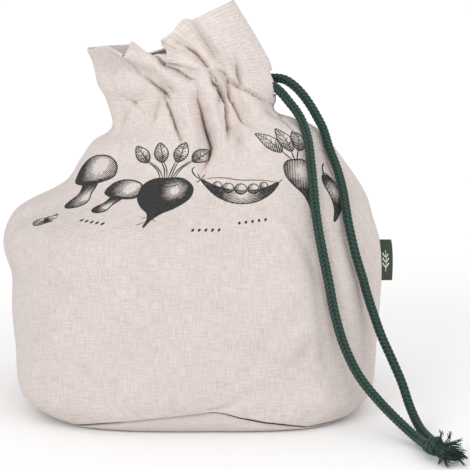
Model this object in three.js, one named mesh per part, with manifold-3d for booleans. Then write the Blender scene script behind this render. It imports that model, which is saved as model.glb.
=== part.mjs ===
// A cloth vegetable bag with a drawstring, standing filled on its round base.
// Millimetres, +Z up, front towards -Y, origin on the floor under the middle of the base.
// A place on the cloth is given by "around", in degrees from the right side seam (+X) over the
// front (90) and the left side seam (180) to the back (270), and by a row of a table going up.

import * as THREE from "three";
import { mergeVertices } from "three/addons/utils/BufferGeometryUtils.js";
import Module from "manifold-3d";

const wasm = await Module();
wasm.setup();

// Driving sizes
const bodyWidth = 292;
const bodyDepth = 224;
const neckWidth = 128;
const neckDepth = 68;
const neckHeight = 233;
const channelHeight = 20;
const frillHeight = 54;
const clothWall = 1.5;
const frillWall = 2;
const frillRise = 10;
const pleatDepth = 9;
const baseFlatShare = 0.92;
const cordDiameter = 7;
const cordClearance = 0.5;
const channelInset = -2;
const slitWidth = 35;
const slitMargin = 1.5;
const loopEnd = 30;
const knotDiameter = 19;
const knotReach = 0.84;
const tuftLength = 24;
const tuftSpread = 96;
const labelWidth = 9;
const labelHeight = 32;
const labelBottom = 91;
const labelWall = 0.7;
const labelSlot = 0.4;
const seamGap = 0.3;

// Resolution of the faceted cloth
const frontColumns = 34;
const backColumns = 24;
const wallRows = 17;
const baseColumns = 40;
const channelSides = 8;
const strandSteps = 30;
const loopSteps = 36;
const cordSides = 8;
const frillLevels = 5;
const frillColumnsPerFold = 3;

// The body from the bottom seam up to the channel. Up is a share of neckHeight at the left and
// right side, crown is how much higher the front lies, and left, right, front and back go from
// 0 at the neck's size to 1 at the body's full size. Square is 2 for an ellipse and more for a
// fuller corner, gather is the share of pleatDepth that the folds reach there.
const wallSections = [
  { leftUp: 0.02, rightUp: 0.02, crown: 0.044, square: 3.1, gather: 0,
    left: 0.72, right: 0.78, front: 0.95, back: 0.92 },
  { leftUp: 0.075, rightUp: 0.075, crown: 0.03, square: 3.4, gather: 0,
    left: 0.91, right: 0.92, front: 0.99, back: 0.96 },
  { leftUp: 0.21, rightUp: 0.21, crown: 0, square: 2.9, gather: 0,
    left: 0.935, right: 0.975, front: 1.01, back: 0.98 },
  { leftUp: 0.33, rightUp: 0.33, crown: 0, square: 2.8, gather: 0,
    left: 0.94, right: 1, front: 1.01, back: 0.98 },
  { leftUp: 0.44, rightUp: 0.43, crown: 0, square: 2.7, gather: 0,
    left: 0.96, right: 1.005, front: 0.99, back: 0.95 },
  { leftUp: 0.53, rightUp: 0.52, crown: 0, square: 2.6, gather: 0,
    left: 1.005, right: 0.98, front: 0.95, back: 0.9 },
  { leftUp: 0.605, rightUp: 0.605, crown: 0, square: 2.5, gather: 0,
    left: 0.945, right: 0.915, front: 0.87, back: 0.82 },
  { leftUp: 0.645, rightUp: 0.665, crown: 0, square: 2.4, gather: 0.03,
    left: 0.84, right: 0.865, front: 0.78, back: 0.74 },
  { leftUp: 0.687, rightUp: 0.72, crown: 0, square: 2.3, gather: 0.1,
    left: 0.6, right: 0.775, front: 0.64, back: 0.61 },
  { leftUp: 0.73, rightUp: 0.777, crown: 0, square: 2.2, gather: 0.22,
    left: 0.4, right: 0.665, front: 0.5, back: 0.47 },
  { leftUp: 0.8, rightUp: 0.845, crown: 0, square: 2.15, gather: 0.4,
    left: 0.27, right: 0.53, front: 0.33, back: 0.31 },
  { leftUp: 0.86, rightUp: 0.91, crown: 0, square: 2.1, gather: 0.62,
    left: 0.15, right: 0.366, front: 0.18, back: 0.17 },
  { leftUp: 0.893, rightUp: 0.944, crown: 0.01, square: 2.05, gather: 0.85,
    left: -0.02, right: 0.16, front: 0.08, back: 0.07 },
  { leftUp: 0.925, rightUp: 0.964, crown: 0.02, square: 2, gather: 1,
    left: -0.05, right: 0.012, front: 0.02, back: 0.02 },
  { leftUp: 1, rightUp: 0.99, crown: 0.025, square: 2, gather: 0.8,
    left: 0.005, right: -0.005, front: 0, back: 0 },
];

// The folds drawn together at the neck. At is where the fold's valley starts at the channel,
// lean how many degrees it drifts on its way down, reach how many table rows it runs down,
// wide its half width in degrees, deep its share of pleatDepth.
const neckFolds = [
  { at: 2, lean: 0, reach: 4, wide: 7, deep: 0.4 },
  { at: 29, lean: -6, reach: 5, wide: 7, deep: 0.6 },
  { at: 52, lean: -2, reach: 5, wide: 5, deep: 0.7 },
  { at: 68, lean: 9, reach: 6, wide: 5, deep: 1 },
  { at: 84, lean: 6, reach: 7, wide: 5, deep: 1.1 },
  { at: 108, lean: -4, reach: 5, wide: 5, deep: 0.9 },
  { at: 126, lean: 4, reach: 4, wide: 6, deep: 0.4 },
  { at: 147, lean: 3, reach: 5, wide: 7, deep: 0.6 },
  { at: 172, lean: 5, reach: 5, wide: 7, deep: 0.5 },
  { at: 196, lean: 4, reach: 5, wide: 6, deep: 0.8 },
  { at: 217, lean: -5, reach: 6, wide: 6, deep: 0.9 },
  { at: 238, lean: 3, reach: 5, wide: 5, deep: 0.8 },
  { at: 257, lean: -3, reach: 7, wide: 5, deep: 1 },
  { at: 276, lean: 4, reach: 5, wide: 5, deep: 0.8 },
  { at: 296, lean: 2, reach: 6, wide: 6, deep: 1 },
  { at: 318, lean: -4, reach: 5, wide: 6, deep: 0.8 },
  { at: 340, lean: 5, reach: 5, wide: 7, deep: 0.6 },
];

// Soft dents in the filled body: where they lie, how far they reach along the table rows and
// around, and their depth as a share of pleatDepth. A negative depth swells out.
const bodyDents = [
  { at: 158, row: 6.6, lean: 3, tall: 1.1, wide: 7, deep: 0.7 },
  { at: 52, row: 5.2, lean: -3, tall: 3.2, wide: 5, deep: 0.45 },
  { at: 34, row: 4.2, lean: -4, tall: 2.2, wide: 5, deep: 0.4 },
  { at: 20, row: 8.2, lean: -6, tall: 1.2, wide: 6, deep: 0.5 },
  { at: 60, row: 1.6, lean: 12, tall: 1.2, wide: 9, deep: 0.4 },
  { at: 100, row: 3, lean: 0, tall: 3, wide: 30, deep: -0.25 },
  { at: 215, row: 6.5, lean: 4, tall: 1.6, wide: 9, deep: 0.6 },
  { at: 300, row: 5, lean: 6, tall: 3, wide: 8, deep: 0.5 },
  { at: 255, row: 2.5, lean: -8, tall: 2, wide: 10, deep: 0.4 },
];

// How the channel's upper edge stands over its lower one, as shares of channelHeight
const channelLean = -0.29;
const channelFlare = 0.1;
const channelRightRise = 0.35;

// The frill's free edge. Around is the place on the channel that a row of cloth starts from,
// side is a share of half neckWidth, forward of half neckDepth, up of frillHeight.
const rimFolds = [
  { around: 0, side: 0.49, forward: 0, up: 1 },
  { around: 20, side: 0.42, forward: 0.38, up: 0.96 },
  { around: 40, side: 0.24, forward: 0.7, up: 0.85 },
  { around: 52, side: 0.1, forward: 0.79, up: 0.74 },
  { around: 60, side: -0.05, forward: 0.79, up: 0.71 },
  { around: 67, side: -0.19, forward: 0.74, up: 0.61 },
  { around: 72, side: -0.33, forward: 0.56, up: 0.45 },
  { around: 76, side: -0.29, forward: 0.85, up: 0.37 },
  { around: 80, side: -0.29, forward: 1.1, up: 0.22 },
  { around: 86, side: -0.38, forward: 0.88, up: 0.28 },
  { around: 93, side: -0.5, forward: 0.7, up: 0.27 },
  { around: 102, side: -0.66, forward: 0.9, up: 0.44 },
  { around: 115, side: -0.8, forward: 1.2, up: 0.23 },
  { around: 135, side: -1.03, forward: 1.2, up: 0.31 },
  { around: 160, side: -1.22, forward: 0.65, up: 0.36 },
  { around: 180, side: -1.26, forward: 0, up: 0.37 },
  { around: 200, side: -1.16, forward: -0.5, up: 0.39 },
  { around: 220, side: -0.92, forward: -0.84, up: 0.41 },
  { around: 234, side: -0.74, forward: -0.76, up: 0.38 },
  { around: 244, side: -0.6, forward: -0.66, up: 0.22 },
  { around: 256, side: -0.42, forward: -0.6, up: 0.26 },
  { around: 276, side: -0.14, forward: -0.76, up: 0.38 },
  { around: 300, side: 0.12, forward: -0.56, up: 0.56 },
  { around: 322, side: 0.32, forward: -0.6, up: 0.83 },
  { around: 342, side: 0.44, forward: -0.3, up: 0.94 },
];

// The two free strands, from the slit over the right shoulder and down the front of the body,
// then along the floor to the knot
const upperStrandRoute = [
  [51.7, 14.4, 244.7],
  [57, 10.2, 246.2],
  [63, 7.2, 247.2],
  [70, 4.8, 246.2],
  [77.3, 2.6, 241.6],
  [84.2, 0, 234.5],
  [90, -4, 226.5],
  [94.5, -8, 219],
  [98.5, -13, 211.5],
  [103, -26, 198],
  [108.3, -37.3, 184.8],
  [112.2, -52.3, 170.3],
  [115, -67, 152],
  [120, -76, 130],
  [126, -76.5, 110],
  [130, -75.5, 96],
  [135, -73.5, 81],
  [140.5, -75, 66],
  [147.4, -79, 51],
  [155, -86, 34],
  [161, -96, 17],
  [166.5, -110, 7],
  [171.5, -127, 4.2],
  [175, -141, 4.6],
  [177, -151, 6],
];

const lowerStrandRoute = [
  [51.7, -14.4, 245.8],
  [57, -10.3, 244.9],
  [62.6, -7.9, 242],
  [68, -7.6, 237],
  [73, -8.8, 231],
  [77.8, -12.4, 225.4],
  [82.5, -20, 218],
  [86.5, -34.8, 205.8],
  [88.3, -49.5, 190.5],
  [89.7, -64.4, 174.8],
  [91.6, -79.4, 155.2],
  [96, -89.5, 131],
  [100, -93.5, 112],
  [104.5, -96, 89],
  [112, -97, 64],
  [123, -100, 42],
  [138.5, -108, 24],
  [154, -121, 11],
  [164, -136, 5.5],
  [168.5, -151, 6],
];

// Where the knot lies, and where the loose yarns beyond it point, in degrees from +X
const knotPlace = [173, -161.5, 9.4];
const knotTurn = -38;

// A smooth value between the rows of a table
function smooth(before, from, to, after, share) {
  const slopeFrom = (to - before) / 2;
  const slopeTo = (after - from) / 2;
  const square = share * share;
  const cube = square * share;
  return (
    (2 * cube - 3 * square + 1) * from +
    (cube - 2 * square + share) * slopeFrom +
    (3 * square - 2 * cube) * to +
    (cube - square) * slopeTo
  );
}

function inTable(table, column, row) {
  const last = table.length - 1;
  const lower = Math.min(Math.max(Math.floor(row), 0), last - 1);
  const value = (index) => table[THREE.MathUtils.clamp(index, 0, last)][column];
  return smooth(value(lower - 1), value(lower), value(lower + 1), value(lower + 2), row - lower);
}

function inRing(table, column, row) {
  const count = table.length;
  const lower = Math.floor(row);
  const value = (index) => table[THREE.MathUtils.euclideanModulo(index, count)][column];
  return smooth(value(lower - 1), value(lower), value(lower + 1), value(lower + 2), row - lower);
}

// How far two places around lie apart, from -180 to 180
function apart(around, at) {
  return THREE.MathUtils.euclideanModulo(around - at + 180, 360) - 180;
}

const lastRow = wallSections.length - 1;

// How far the cloth lies in from its section there
function foldDepth(around, row) {
  let depth = 0;
  for (const fold of neckFolds) {
    const along = (lastRow - row) / fold.reach;
    if (along >= 1) continue;
    const fade = 1 - along * along;
    const across = apart(around, fold.at + fold.lean * along) / (fold.wide * (1 + along));
    depth += fold.deep * fade * Math.exp(-across * across);
  }
  depth *= inTable(wallSections, "gather", row);
  for (const dent of bodyDents) {
    const along = (row - dent.row) / dent.tall;
    const across = apart(around, dent.at - dent.lean * along) / dent.wide;
    depth += dent.deep * Math.exp(-along * along - across * across);
  }
  return depth * pleatDepth;
}

// The fullness of a round section at a place around: 1 on the ellipse's axes
function direction(around, square) {
  const angle = THREE.MathUtils.degToRad(around);
  const side = Math.cos(angle);
  const forward = Math.sin(angle);
  const full = (Math.abs(side) ** square + Math.abs(forward) ** square) ** (-1 / square);
  return { side: side * full, forward: forward * full };
}

function between(neckSize, bodySize, share) {
  return (neckSize + (bodySize - neckSize) * share) / 2;
}

// The smooth section of the body, before its folds
function sectionPoint(around, row) {
  const value = (column) => inTable(wallSections, column, row);
  const toward = direction(around, value("square"));
  const left = between(neckWidth, bodyWidth, value("left"));
  const right = between(neckWidth, bodyWidth, value("right"));
  const deep = between(neckDepth, bodyDepth, value(toward.forward > 0 ? "front" : "back"));
  const share = (toward.side + 1) / 2;
  const crown = toward.forward > 0 ? value("crown") * toward.forward ** 4 : 0;
  const up = THREE.MathUtils.lerp(value("leftUp"), value("rightUp"), share) + crown;
  return new THREE.Vector3(
    (right - left) / 2 + (toward.side * (right + left)) / 2,
    -toward.forward * deep,
    up * neckHeight,
  );
}

// The unit vector out of a surface given as a function of two values
function outward(surface, first, second, firstStep, secondStep) {
  const along = surface(first + firstStep, second).sub(surface(first - firstStep, second));
  const up = surface(first, second + secondStep).sub(surface(first, second - secondStep));
  return up.cross(along).normalize();
}

function foldedPoint(around, row) {
  const point = sectionPoint(around, row);
  const out = outward(sectionPoint, around, row, 0.5, 0.02);
  return point.addScaledVector(out, -foldDepth(around, row));
}

// A point of the wall: depth 0 on the outside, clothWall on the inside. Its top edge is cut level.
function wallPoint(around, row, depth) {
  const out = outward(foldedPoint, around, row, 0.5, 0.02);
  if (row > lastRow - 0.1) out.setZ(0).normalize();
  return foldedPoint(around, row).addScaledVector(out, -depth);
}

// The middle line of the channel's cloth, from its lower stitch line at 0 to its upper one at 1
function channelPoint(around, level) {
  const lower = sectionPoint(around, lastRow);
  const toward = direction(around, 2);
  const tall = 1 + channelRightRise * THREE.MathUtils.smoothstep(toward.side, 0, 1);
  return lower.add(
    new THREE.Vector3(
      (channelLean + toward.side * channelFlare) * channelHeight * level,
      0,
      channelHeight * tall * level + 2 * seamGap,
    ),
  );
}

// 1 in the middle of the channel, 0 at its stitch lines
function held(level) {
  return Math.sin(Math.PI * THREE.MathUtils.clamp(level, 0, 1)) ** 0.6;
}

// The channel's cloth, offset from its middle line towards the outside. The folds run through
// its two edges, while the middle stays smooth round the cord.
function channelSkin(around, level, offset) {
  const out = outward(channelPoint, around, level, 0.5, 0.02);
  const drawnIn = outward(sectionPoint, around, lastRow, 0.5, 0.02);
  const fold = foldDepth(around, lastRow) * (1 - held(level));
  return channelPoint(around, level)
    .addScaledVector(out, offset - clothWall / 2)
    .addScaledVector(drawnIn, -fold);
}

// Changes every vertex of a three.js shape and closes the seams that the shape was cut at
function reshape(geometry, place) {
  const position = geometry.getAttribute("position");
  const vertex = new THREE.Vector3();
  for (let index = 0; index < position.count; index++) {
    vertex.fromBufferAttribute(position, index);
    const placed = place(vertex);
    position.setXYZ(index, placed.x, placed.y, placed.z);
  }
  geometry.deleteAttribute("normal");
  geometry.deleteAttribute("uv");
  const closed = mergeVertices(geometry, 1e-4);
  closed.computeVertexNormals();
  return closed;
}

// A turned ring reshaped: place gets the turn in degrees, the radius and the height
function reshapeTurned(profile, columns, place) {
  const turned = new THREE.LatheGeometry(profile, columns);
  return reshape(turned, (vertex) => {
    const turn = THREE.MathUtils.radToDeg(Math.atan2(vertex.x, vertex.z));
    return place(THREE.MathUtils.euclideanModulo(-turn, 360), Math.hypot(vertex.x, vertex.z), vertex.y);
  });
}

// Solids from manifold-3d for the pieces that are joined or cut
function toSolid(geometry) {
  const plain = geometry.index ? geometry.toNonIndexed() : geometry.clone();
  plain.deleteAttribute("normal");
  plain.deleteAttribute("uv");
  const merged = mergeVertices(plain, 1e-4);
  return new wasm.Manifold(
    new wasm.Mesh({
      numProp: 3,
      vertProperties: new Float32Array(merged.getAttribute("position").array),
      triVerts: new Uint32Array(merged.index.array),
    }),
  );
}

function toGeometry(solid) {
  const mesh = solid.getMesh();
  const geometry = new THREE.BufferGeometry();
  geometry.setAttribute("position", new THREE.BufferAttribute(mesh.vertProperties, 3));
  geometry.setIndex(new THREE.BufferAttribute(mesh.triVerts, 1));
  geometry.computeVertexNormals();
  return geometry;
}

// Half of the body's cloth: a flat sheet wrapped round from one side seam to the other
function panel(fromAround, toAround, columns) {
  const sheet = new THREE.BoxGeometry(1, 1, 1, columns, wallRows, 1);
  return reshape(sheet, (vertex) =>
    wallPoint(
      THREE.MathUtils.lerp(fromAround, toAround, vertex.x + 0.5),
      (vertex.y + 0.5) * lastRow,
      vertex.z > 0 ? 0 : clothWall,
    ),
  );
}

// The base: flat on the floor, its rounded edge meeting the bottom seam
function basePanel() {
  const wallShare = clothWall / (bodyWidth / 2);
  const edge = [
    [0, 0],
    [baseFlatShare, 0],
    [0.965, 0.14],
    [0.99, 0.5],
    [1, 1],
  ];
  const outside = edge.map(([share, up]) => new THREE.Vector2(share, up));
  const inside = edge.map(([share, up]) => new THREE.Vector2(Math.max(share - wallShare, 0), up + 2));
  const profile = [...outside, ...inside.reverse()];
  return reshapeTurned(profile, baseColumns, (around, share, level) => {
    const inner = level >= 2;
    const up = inner ? level - 2 : level;
    const seam = sectionPoint(around, 0);
    const rise = (seam.z - seamGap) * up;
    const thick = inner ? clothWall * (1 - up) : 0;
    return new THREE.Vector3(seam.x * share, seam.y * share, rise + thick);
  });
}

// The place around of the cloth's columns, counted from the right side seam
function columnAround(column) {
  const back = Math.max(column - frontColumns, 0);
  return (180 * Math.min(column, frontColumns)) / frontColumns + (180 * back) / backColumns;
}

// The channel: an oval sleeve round the neck, hollow for the cord, slit open at the right seam
function drawstringChannel() {
  const cavity = cordDiameter / 2 + cordClearance;
  const section = (half, margin, steps) => {
    const loop = [];
    for (let step = 0; step <= steps; step++) {
      const angle = (step / steps) * 2 * Math.PI;
      const level = 0.5 - Math.cos(angle) * (0.5 - margin);
      const bulge = Math.abs(Math.sin(angle)) ** 0.8 * Math.sign(Math.sin(angle));
      loop.push(new THREE.Vector2(10 + half * bulge, level));
    }
    return loop;
  };
  const columns = frontColumns + backColumns;
  const ring = (half, margin) =>
    toSolid(
      reshapeTurned(section(half, margin, channelSides), columns, (turn, offset, level) =>
        channelSkin(columnAround((turn / 360) * columns), level, offset - 10 + channelInset * held(level)),
      ),
    );
  const sleeve = ring(cavity + clothWall, 0);
  const hollow = ring(cavity, (clothWall * 1.6) / channelHeight);
  const middle = channelPoint(0, 0.5);
  const slitHeight = channelHeight * (1 + channelRightRise) - 2 * slitMargin;
  const slit = new THREE.BoxGeometry(cavity * 4, slitWidth, slitHeight);
  slit.translate(middle.x + channelInset + cavity * 0.9, 0, middle.z);
  return toGeometry(sleeve.subtract(hollow).subtract(toSolid(slit)));
}

// The frill: a double hem that starts in the channel's folds and ends in its own free edge
function rimPoint(row) {
  return new THREE.Vector3(
    (inRing(rimFolds, "side", row) * neckWidth) / 2,
    (-inRing(rimFolds, "forward", row) * neckDepth) / 2,
    neckHeight + channelHeight + inRing(rimFolds, "up", row) * frillHeight,
  );
}

function frillPoint(row, level) {
  const count = rimFolds.length;
  const lower = THREE.MathUtils.euclideanModulo(Math.floor(row), count);
  const from = rimFolds[lower].around;
  const to = lower + 1 < count ? rimFolds[lower + 1].around : 360;
  const around = from + (to - from) * (row - Math.floor(row));
  const start = channelSkin(around, 1, 0);
  start.z += seamGap;
  const risen = start.clone().setZ(start.z + frillRise);
  const rim = rimPoint(row);
  return new THREE.QuadraticBezierCurve3(start, risen, rim).getPoint(level);
}

function headerFrill() {
  const profile = [];
  for (let step = 0; step <= frillLevels; step++) {
    profile.push(new THREE.Vector2(11, step / frillLevels));
  }
  for (let step = frillLevels; step >= 0; step--) {
    profile.push(new THREE.Vector2(10, step / frillLevels));
  }
  profile.push(profile[0].clone());
  const columns = rimFolds.length * frillColumnsPerFold;
  return reshapeTurned(profile, columns, (turn, radius, level) => {
    const row = (turn / 360) * rimFolds.length;
    const out = outward(frillPoint, row, level, 0.05, 0.02);
    const side = radius > 10.5 ? 0 : frillWall;
    return frillPoint(row, level).addScaledVector(out, -side);
  });
}

// A round cord along a smooth route
function cordTube(points, steps) {
  const outline = new THREE.Shape();
  for (let side = 0; side < cordSides; side++) {
    const angle = (side / cordSides) * 2 * Math.PI;
    const x = (Math.cos(angle) * cordDiameter) / 2;
    const y = (Math.sin(angle) * cordDiameter) / 2;
    if (side === 0) outline.moveTo(x, y);
    else outline.lineTo(x, y);
  }
  outline.closePath();
  const route = new THREE.CatmullRomCurve3(points, false, "centripetal");
  return new THREE.ExtrudeGeometry(outline, { steps, bevelEnabled: false, extrudePath: route });
}

// The cord inside the channel
function cordLoop() {
  const points = [];
  for (let step = 0; step <= loopSteps; step++) {
    const around = loopEnd + ((360 - 2 * loopEnd) * step) / loopSteps;
    points.push(channelSkin(around, 0.5, channelInset));
  }
  return cordTube(points, loopSteps);
}

const vectors = (route) => route.map(([x, y, z]) => new THREE.Vector3(x, y, z));

// The knot: the doubled cord wound round itself. Where the frayed end comes out it reaches
// knotReach of half its diameter.
function cordKnot() {
  const half = knotDiameter / 2;
  const strand = cordDiameter / 2;
  const turns = [
    { along: -3.2, tilt: 20, spread: 0.94 },
    { along: 3, tilt: -24, spread: 1 },
    { along: 0.4, tilt: 62, spread: 0.82 },
  ];
  let knot = toSolid(new THREE.SphereGeometry(half * 0.7, 10, 6));
  for (const turn of turns) {
    const ring = new THREE.TorusGeometry(half * turn.spread - strand, strand * 0.92, 7, 12);
    ring.rotateY(Math.PI / 2);
    ring.rotateZ(THREE.MathUtils.degToRad(turn.tilt));
    ring.translate(turn.along, 0, 0);
    knot = knot.add(toSolid(ring));
  }
  return toGeometry(knot);
}

// The frayed end: locks of loose yarn fanning out from a short head
function frayedEnd() {
  const headLength = 5;
  const head = new THREE.CylinderGeometry(cordDiameter * 0.55, cordDiameter * 0.5, headLength, 10);
  head.rotateZ(-Math.PI / 2);
  head.translate(headLength / 2, 0, 0);
  let tuft = toSolid(head);
  const locks = 9;
  for (let lock = 0; lock < locks; lock++) {
    const share = lock / (locks - 1) - 0.5;
    const length = tuftLength * (1 - 0.35 * Math.abs(Math.sin(lock * 2.1)));
    const yarn = new THREE.CylinderGeometry(0.5, 1.5, length, 6);
    yarn.rotateZ(-Math.PI / 2);
    yarn.translate(length / 2 + headLength * 0.5, 0, 0);
    yarn.rotateY(THREE.MathUtils.degToRad(6 * Math.cos(lock * 2.4)));
    yarn.rotateZ(THREE.MathUtils.degToRad(share * tuftSpread));
    tuft = tuft.add(toSolid(yarn));
  }
  return toGeometry(tuft);
}

// The label: a tape folded once at its outer edge, its two ends caught in the side seam
function sideLabel() {
  const half = labelWall + labelSlot / 2;
  const outline = new THREE.Shape();
  outline.moveTo(0, -half);
  outline.lineTo(labelWidth - half, -half);
  outline.absarc(labelWidth - half, 0, half, -Math.PI / 2, Math.PI / 2);
  outline.lineTo(0, half);
  outline.lineTo(0, labelSlot / 2);
  outline.lineTo(labelWidth - half, labelSlot / 2);
  outline.lineTo(labelWidth - half, -labelSlot / 2);
  outline.lineTo(0, -labelSlot / 2);
  outline.closePath();
  const settings = { depth: labelHeight, steps: 4, curveSegments: 5, bevelEnabled: false };
  return reshape(new THREE.ExtrudeGeometry(outline, settings), (vertex) => {
    const height = labelBottom + vertex.z;
    return new THREE.Vector3(sideEdge(height) + seamGap + vertex.x, vertex.y, height);
  });
}

// How far out the right side seam lies at a height
function sideEdge(height) {
  let row = 0;
  while (foldedPoint(0, row).z < height) row += 0.02;
  return foldedPoint(0, row).x;
}

// Materials
const linen = new THREE.MeshStandardMaterial({ color: "#e3dad4", roughness: 0.9, metalness: 0 });
const cord = new THREE.MeshStandardMaterial({ color: "#2f4a3f", roughness: 0.8, metalness: 0 });
const tape = new THREE.MeshStandardMaterial({ color: "#3d4f38", roughness: 0.75, metalness: 0 });

function named(name, geometry, material) {
  const mesh = new THREE.Mesh(geometry, material);
  mesh.name = name;
  return mesh;
}

const bag = new THREE.Group();

const frontPanel = named("front_panel", panel(180, 0, frontColumns), linen);
frontPanel.position.y = -seamGap / 2;
bag.add(frontPanel);

const backPanel = named("back_panel", panel(360, 180, backColumns), linen);
backPanel.position.y = seamGap / 2;
bag.add(backPanel);

bag.add(named("base_panel", basePanel(), linen));
bag.add(named("drawstring_channel", drawstringChannel(), linen));
bag.add(named("header_frill", headerFrill(), linen));
bag.add(named("drawcord_loop", cordLoop(), cord));
bag.add(named("cord_strand_upper", cordTube(vectors(upperStrandRoute), strandSteps), cord));
bag.add(named("cord_strand_lower", cordTube(vectors(lowerStrandRoute), strandSteps), cord));
bag.add(named("side_label", sideLabel(), tape));

const knotGroup = new THREE.Group();
knotGroup.position.set(...knotPlace);
knotGroup.rotation.z = THREE.MathUtils.degToRad(knotTurn);
knotGroup.add(named("cord_knot", cordKnot(), cord));
const tuft = named("cord_frayed_end", frayedEnd(), cord);
tuft.position.x = (knotDiameter / 2) * knotReach + seamGap;
knotGroup.add(tuft);
bag.add(knotGroup);

export default bag;
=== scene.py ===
# %% [markdown]
# # A cloth vegetable bag with a drawstring
# The bag stands filled on a round base. Its neck is drawn in by a braided cord that runs through
# a sewn channel, and above the channel the hem fans out as a frill. Everything is in metres, in
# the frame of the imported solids: +Z up, the front towards -Y, the origin on the floor.

import math
import random

import bmesh
import bpy
import numpy as np
from mathutils import Matrix, Vector
from mathutils.bvhtree import BVHTree


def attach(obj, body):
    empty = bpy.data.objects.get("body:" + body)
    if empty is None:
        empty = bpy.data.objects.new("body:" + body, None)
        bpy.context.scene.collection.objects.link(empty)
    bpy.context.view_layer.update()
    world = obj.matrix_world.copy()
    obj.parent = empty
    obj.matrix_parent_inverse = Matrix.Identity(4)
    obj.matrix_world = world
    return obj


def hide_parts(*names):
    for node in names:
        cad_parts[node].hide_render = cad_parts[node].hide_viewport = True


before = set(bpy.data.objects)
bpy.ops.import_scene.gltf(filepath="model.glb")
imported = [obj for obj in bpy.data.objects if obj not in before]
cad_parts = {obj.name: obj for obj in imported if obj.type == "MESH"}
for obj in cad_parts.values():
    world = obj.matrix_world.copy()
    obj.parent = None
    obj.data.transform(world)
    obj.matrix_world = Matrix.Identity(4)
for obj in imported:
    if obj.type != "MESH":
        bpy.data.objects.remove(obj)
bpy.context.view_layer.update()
MM = 0.001
print("solids:", sorted(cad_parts))

# %% [markdown]
# ## Camera
# A product photograph is taken with a long lens from well back, so that nothing bulges. The
# camera stands 1.6 m away and looks 12 degrees down, which shows the top of the frayed cord on
# the floor and still keeps the shoulder of the bag in outline.

# %% Camera
PICTURE_PIXELS = 470   # the camera's picture is square
LENS_MM, SENSOR_MM = 159.2, 36
lens = bpy.data.cameras.new("Photo camera")
lens.sensor_width = SENSOR_MM
lens.lens = LENS_MM
lens.clip_end = 50
camera = bpy.data.objects.new("Photo camera", lens)
bpy.context.scene.collection.objects.link(camera)
DISTANCE = 1.6
LOOK_DOWN = math.radians(12)
TARGET = Vector((0.032, 0, 0.1266))
camera.location = TARGET + DISTANCE * Vector((0, -math.cos(LOOK_DOWN), math.sin(LOOK_DOWN)))
camera.rotation_euler = (math.pi / 2 - LOOK_DOWN, 0, 0)
bpy.context.scene.camera = camera
print("camera at", [round(value, 4) for value in camera.location])

# %% [markdown]
# ## Tables that shape the cloth
# Cloth that is filled and drawn in has no simple profile, so its form is kept in short tables:
# sections going up the body, folds around the neck, soft dents, and the free edge of the frill.
# A smooth curve through the rows of a table gives every place between them. A place on the
# cloth is "around", in degrees from the right side seam over the front (90) and the left side
# seam (180) to the back (270), and a row of the section table.

# %% Sizes and tables
BODY_WIDTH, BODY_DEPTH = 292 * MM, 224 * MM
NECK_WIDTH, NECK_DEPTH, NECK_HEIGHT = 128 * MM, 68 * MM, 233 * MM
CHANNEL_HEIGHT, FRILL_HEIGHT = 20 * MM, 54 * MM
PLEAT_DEPTH = 9 * MM
FRILL_RISE = 5 * MM
CORD_DIAMETER = 7 * MM
CHANNEL_LEAN, CHANNEL_FLARE, CHANNEL_RIGHT_RISE = -0.29, 0.1, 0.35
SEAM_GAP = 0.3 * MM

SECTION_COLUMNS = ("left_up", "right_up", "crown", "left", "right", "front", "back", "square",
                   "gather")
WALL_SECTIONS = [
    (0.02, 0.02, 0.044, 0.63, 0.76, 0.95, 0.92, 3.1, 0),
    (0.075, 0.075, 0.03, 0.84, 0.9, 0.99, 0.96, 3.4, 0),
    (0.21, 0.21, 0, 0.885, 0.94, 1.01, 0.98, 2.9, 0),
    (0.33, 0.33, 0, 0.915, 0.965, 1.01, 0.98, 2.8, 0),
    (0.44, 0.43, 0, 0.91, 0.98, 0.99, 0.95, 2.7, 0),
    (0.53, 0.52, 0, 0.99, 0.965, 0.95, 0.9, 2.6, 0),
    (0.605, 0.605, 0, 0.935, 0.9, 0.87, 0.82, 2.5, 0),
    (0.645, 0.665, 0, 0.8, 0.855, 0.78, 0.74, 2.4, 0.03),
    (0.687, 0.72, 0, 0.565, 0.77, 0.64, 0.61, 2.3, 0.1),
    (0.73, 0.777, 0, 0.395, 0.66, 0.5, 0.47, 2.2, 0.22),
    (0.8, 0.845, 0, 0.275, 0.52, 0.33, 0.31, 2.15, 0.4),
    (0.86, 0.91, 0, 0.165, 0.36, 0.18, 0.17, 2.1, 0.62),
    (0.893, 0.944, 0.01, 0.025, 0.16, 0.08, 0.07, 2.05, 0.85),
    (0.925, 0.964, 0.02, -0.007, 0.012, 0.02, 0.02, 2, 1),
    (1, 0.99, 0.025, 0.048, -0.005, 0, 0, 2, 0.8),
]
NECK_FOLDS = [   # at, lean, reach, wide, deep
    (2, 0, 4, 7, 0.4), (29, -6, 5, 7, 0.6), (52, -2, 5, 5, 0.7), (68, 9, 6, 5, 1),
    (84, 6, 7, 5, 1.1), (108, -4, 5, 5, 0.9), (126, 4, 4, 6, 0.4), (147, 3, 5, 7, 0.6),
    (172, 5, 5, 7, 0.5), (196, 4, 5, 6, 0.8), (217, -5, 6, 6, 0.9), (238, 3, 5, 5, 0.8),
    (257, -3, 7, 5, 1), (276, 4, 5, 5, 0.8), (296, 2, 6, 6, 1), (318, -4, 5, 6, 0.8),
    (340, 5, 5, 7, 0.6),
]
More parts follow.
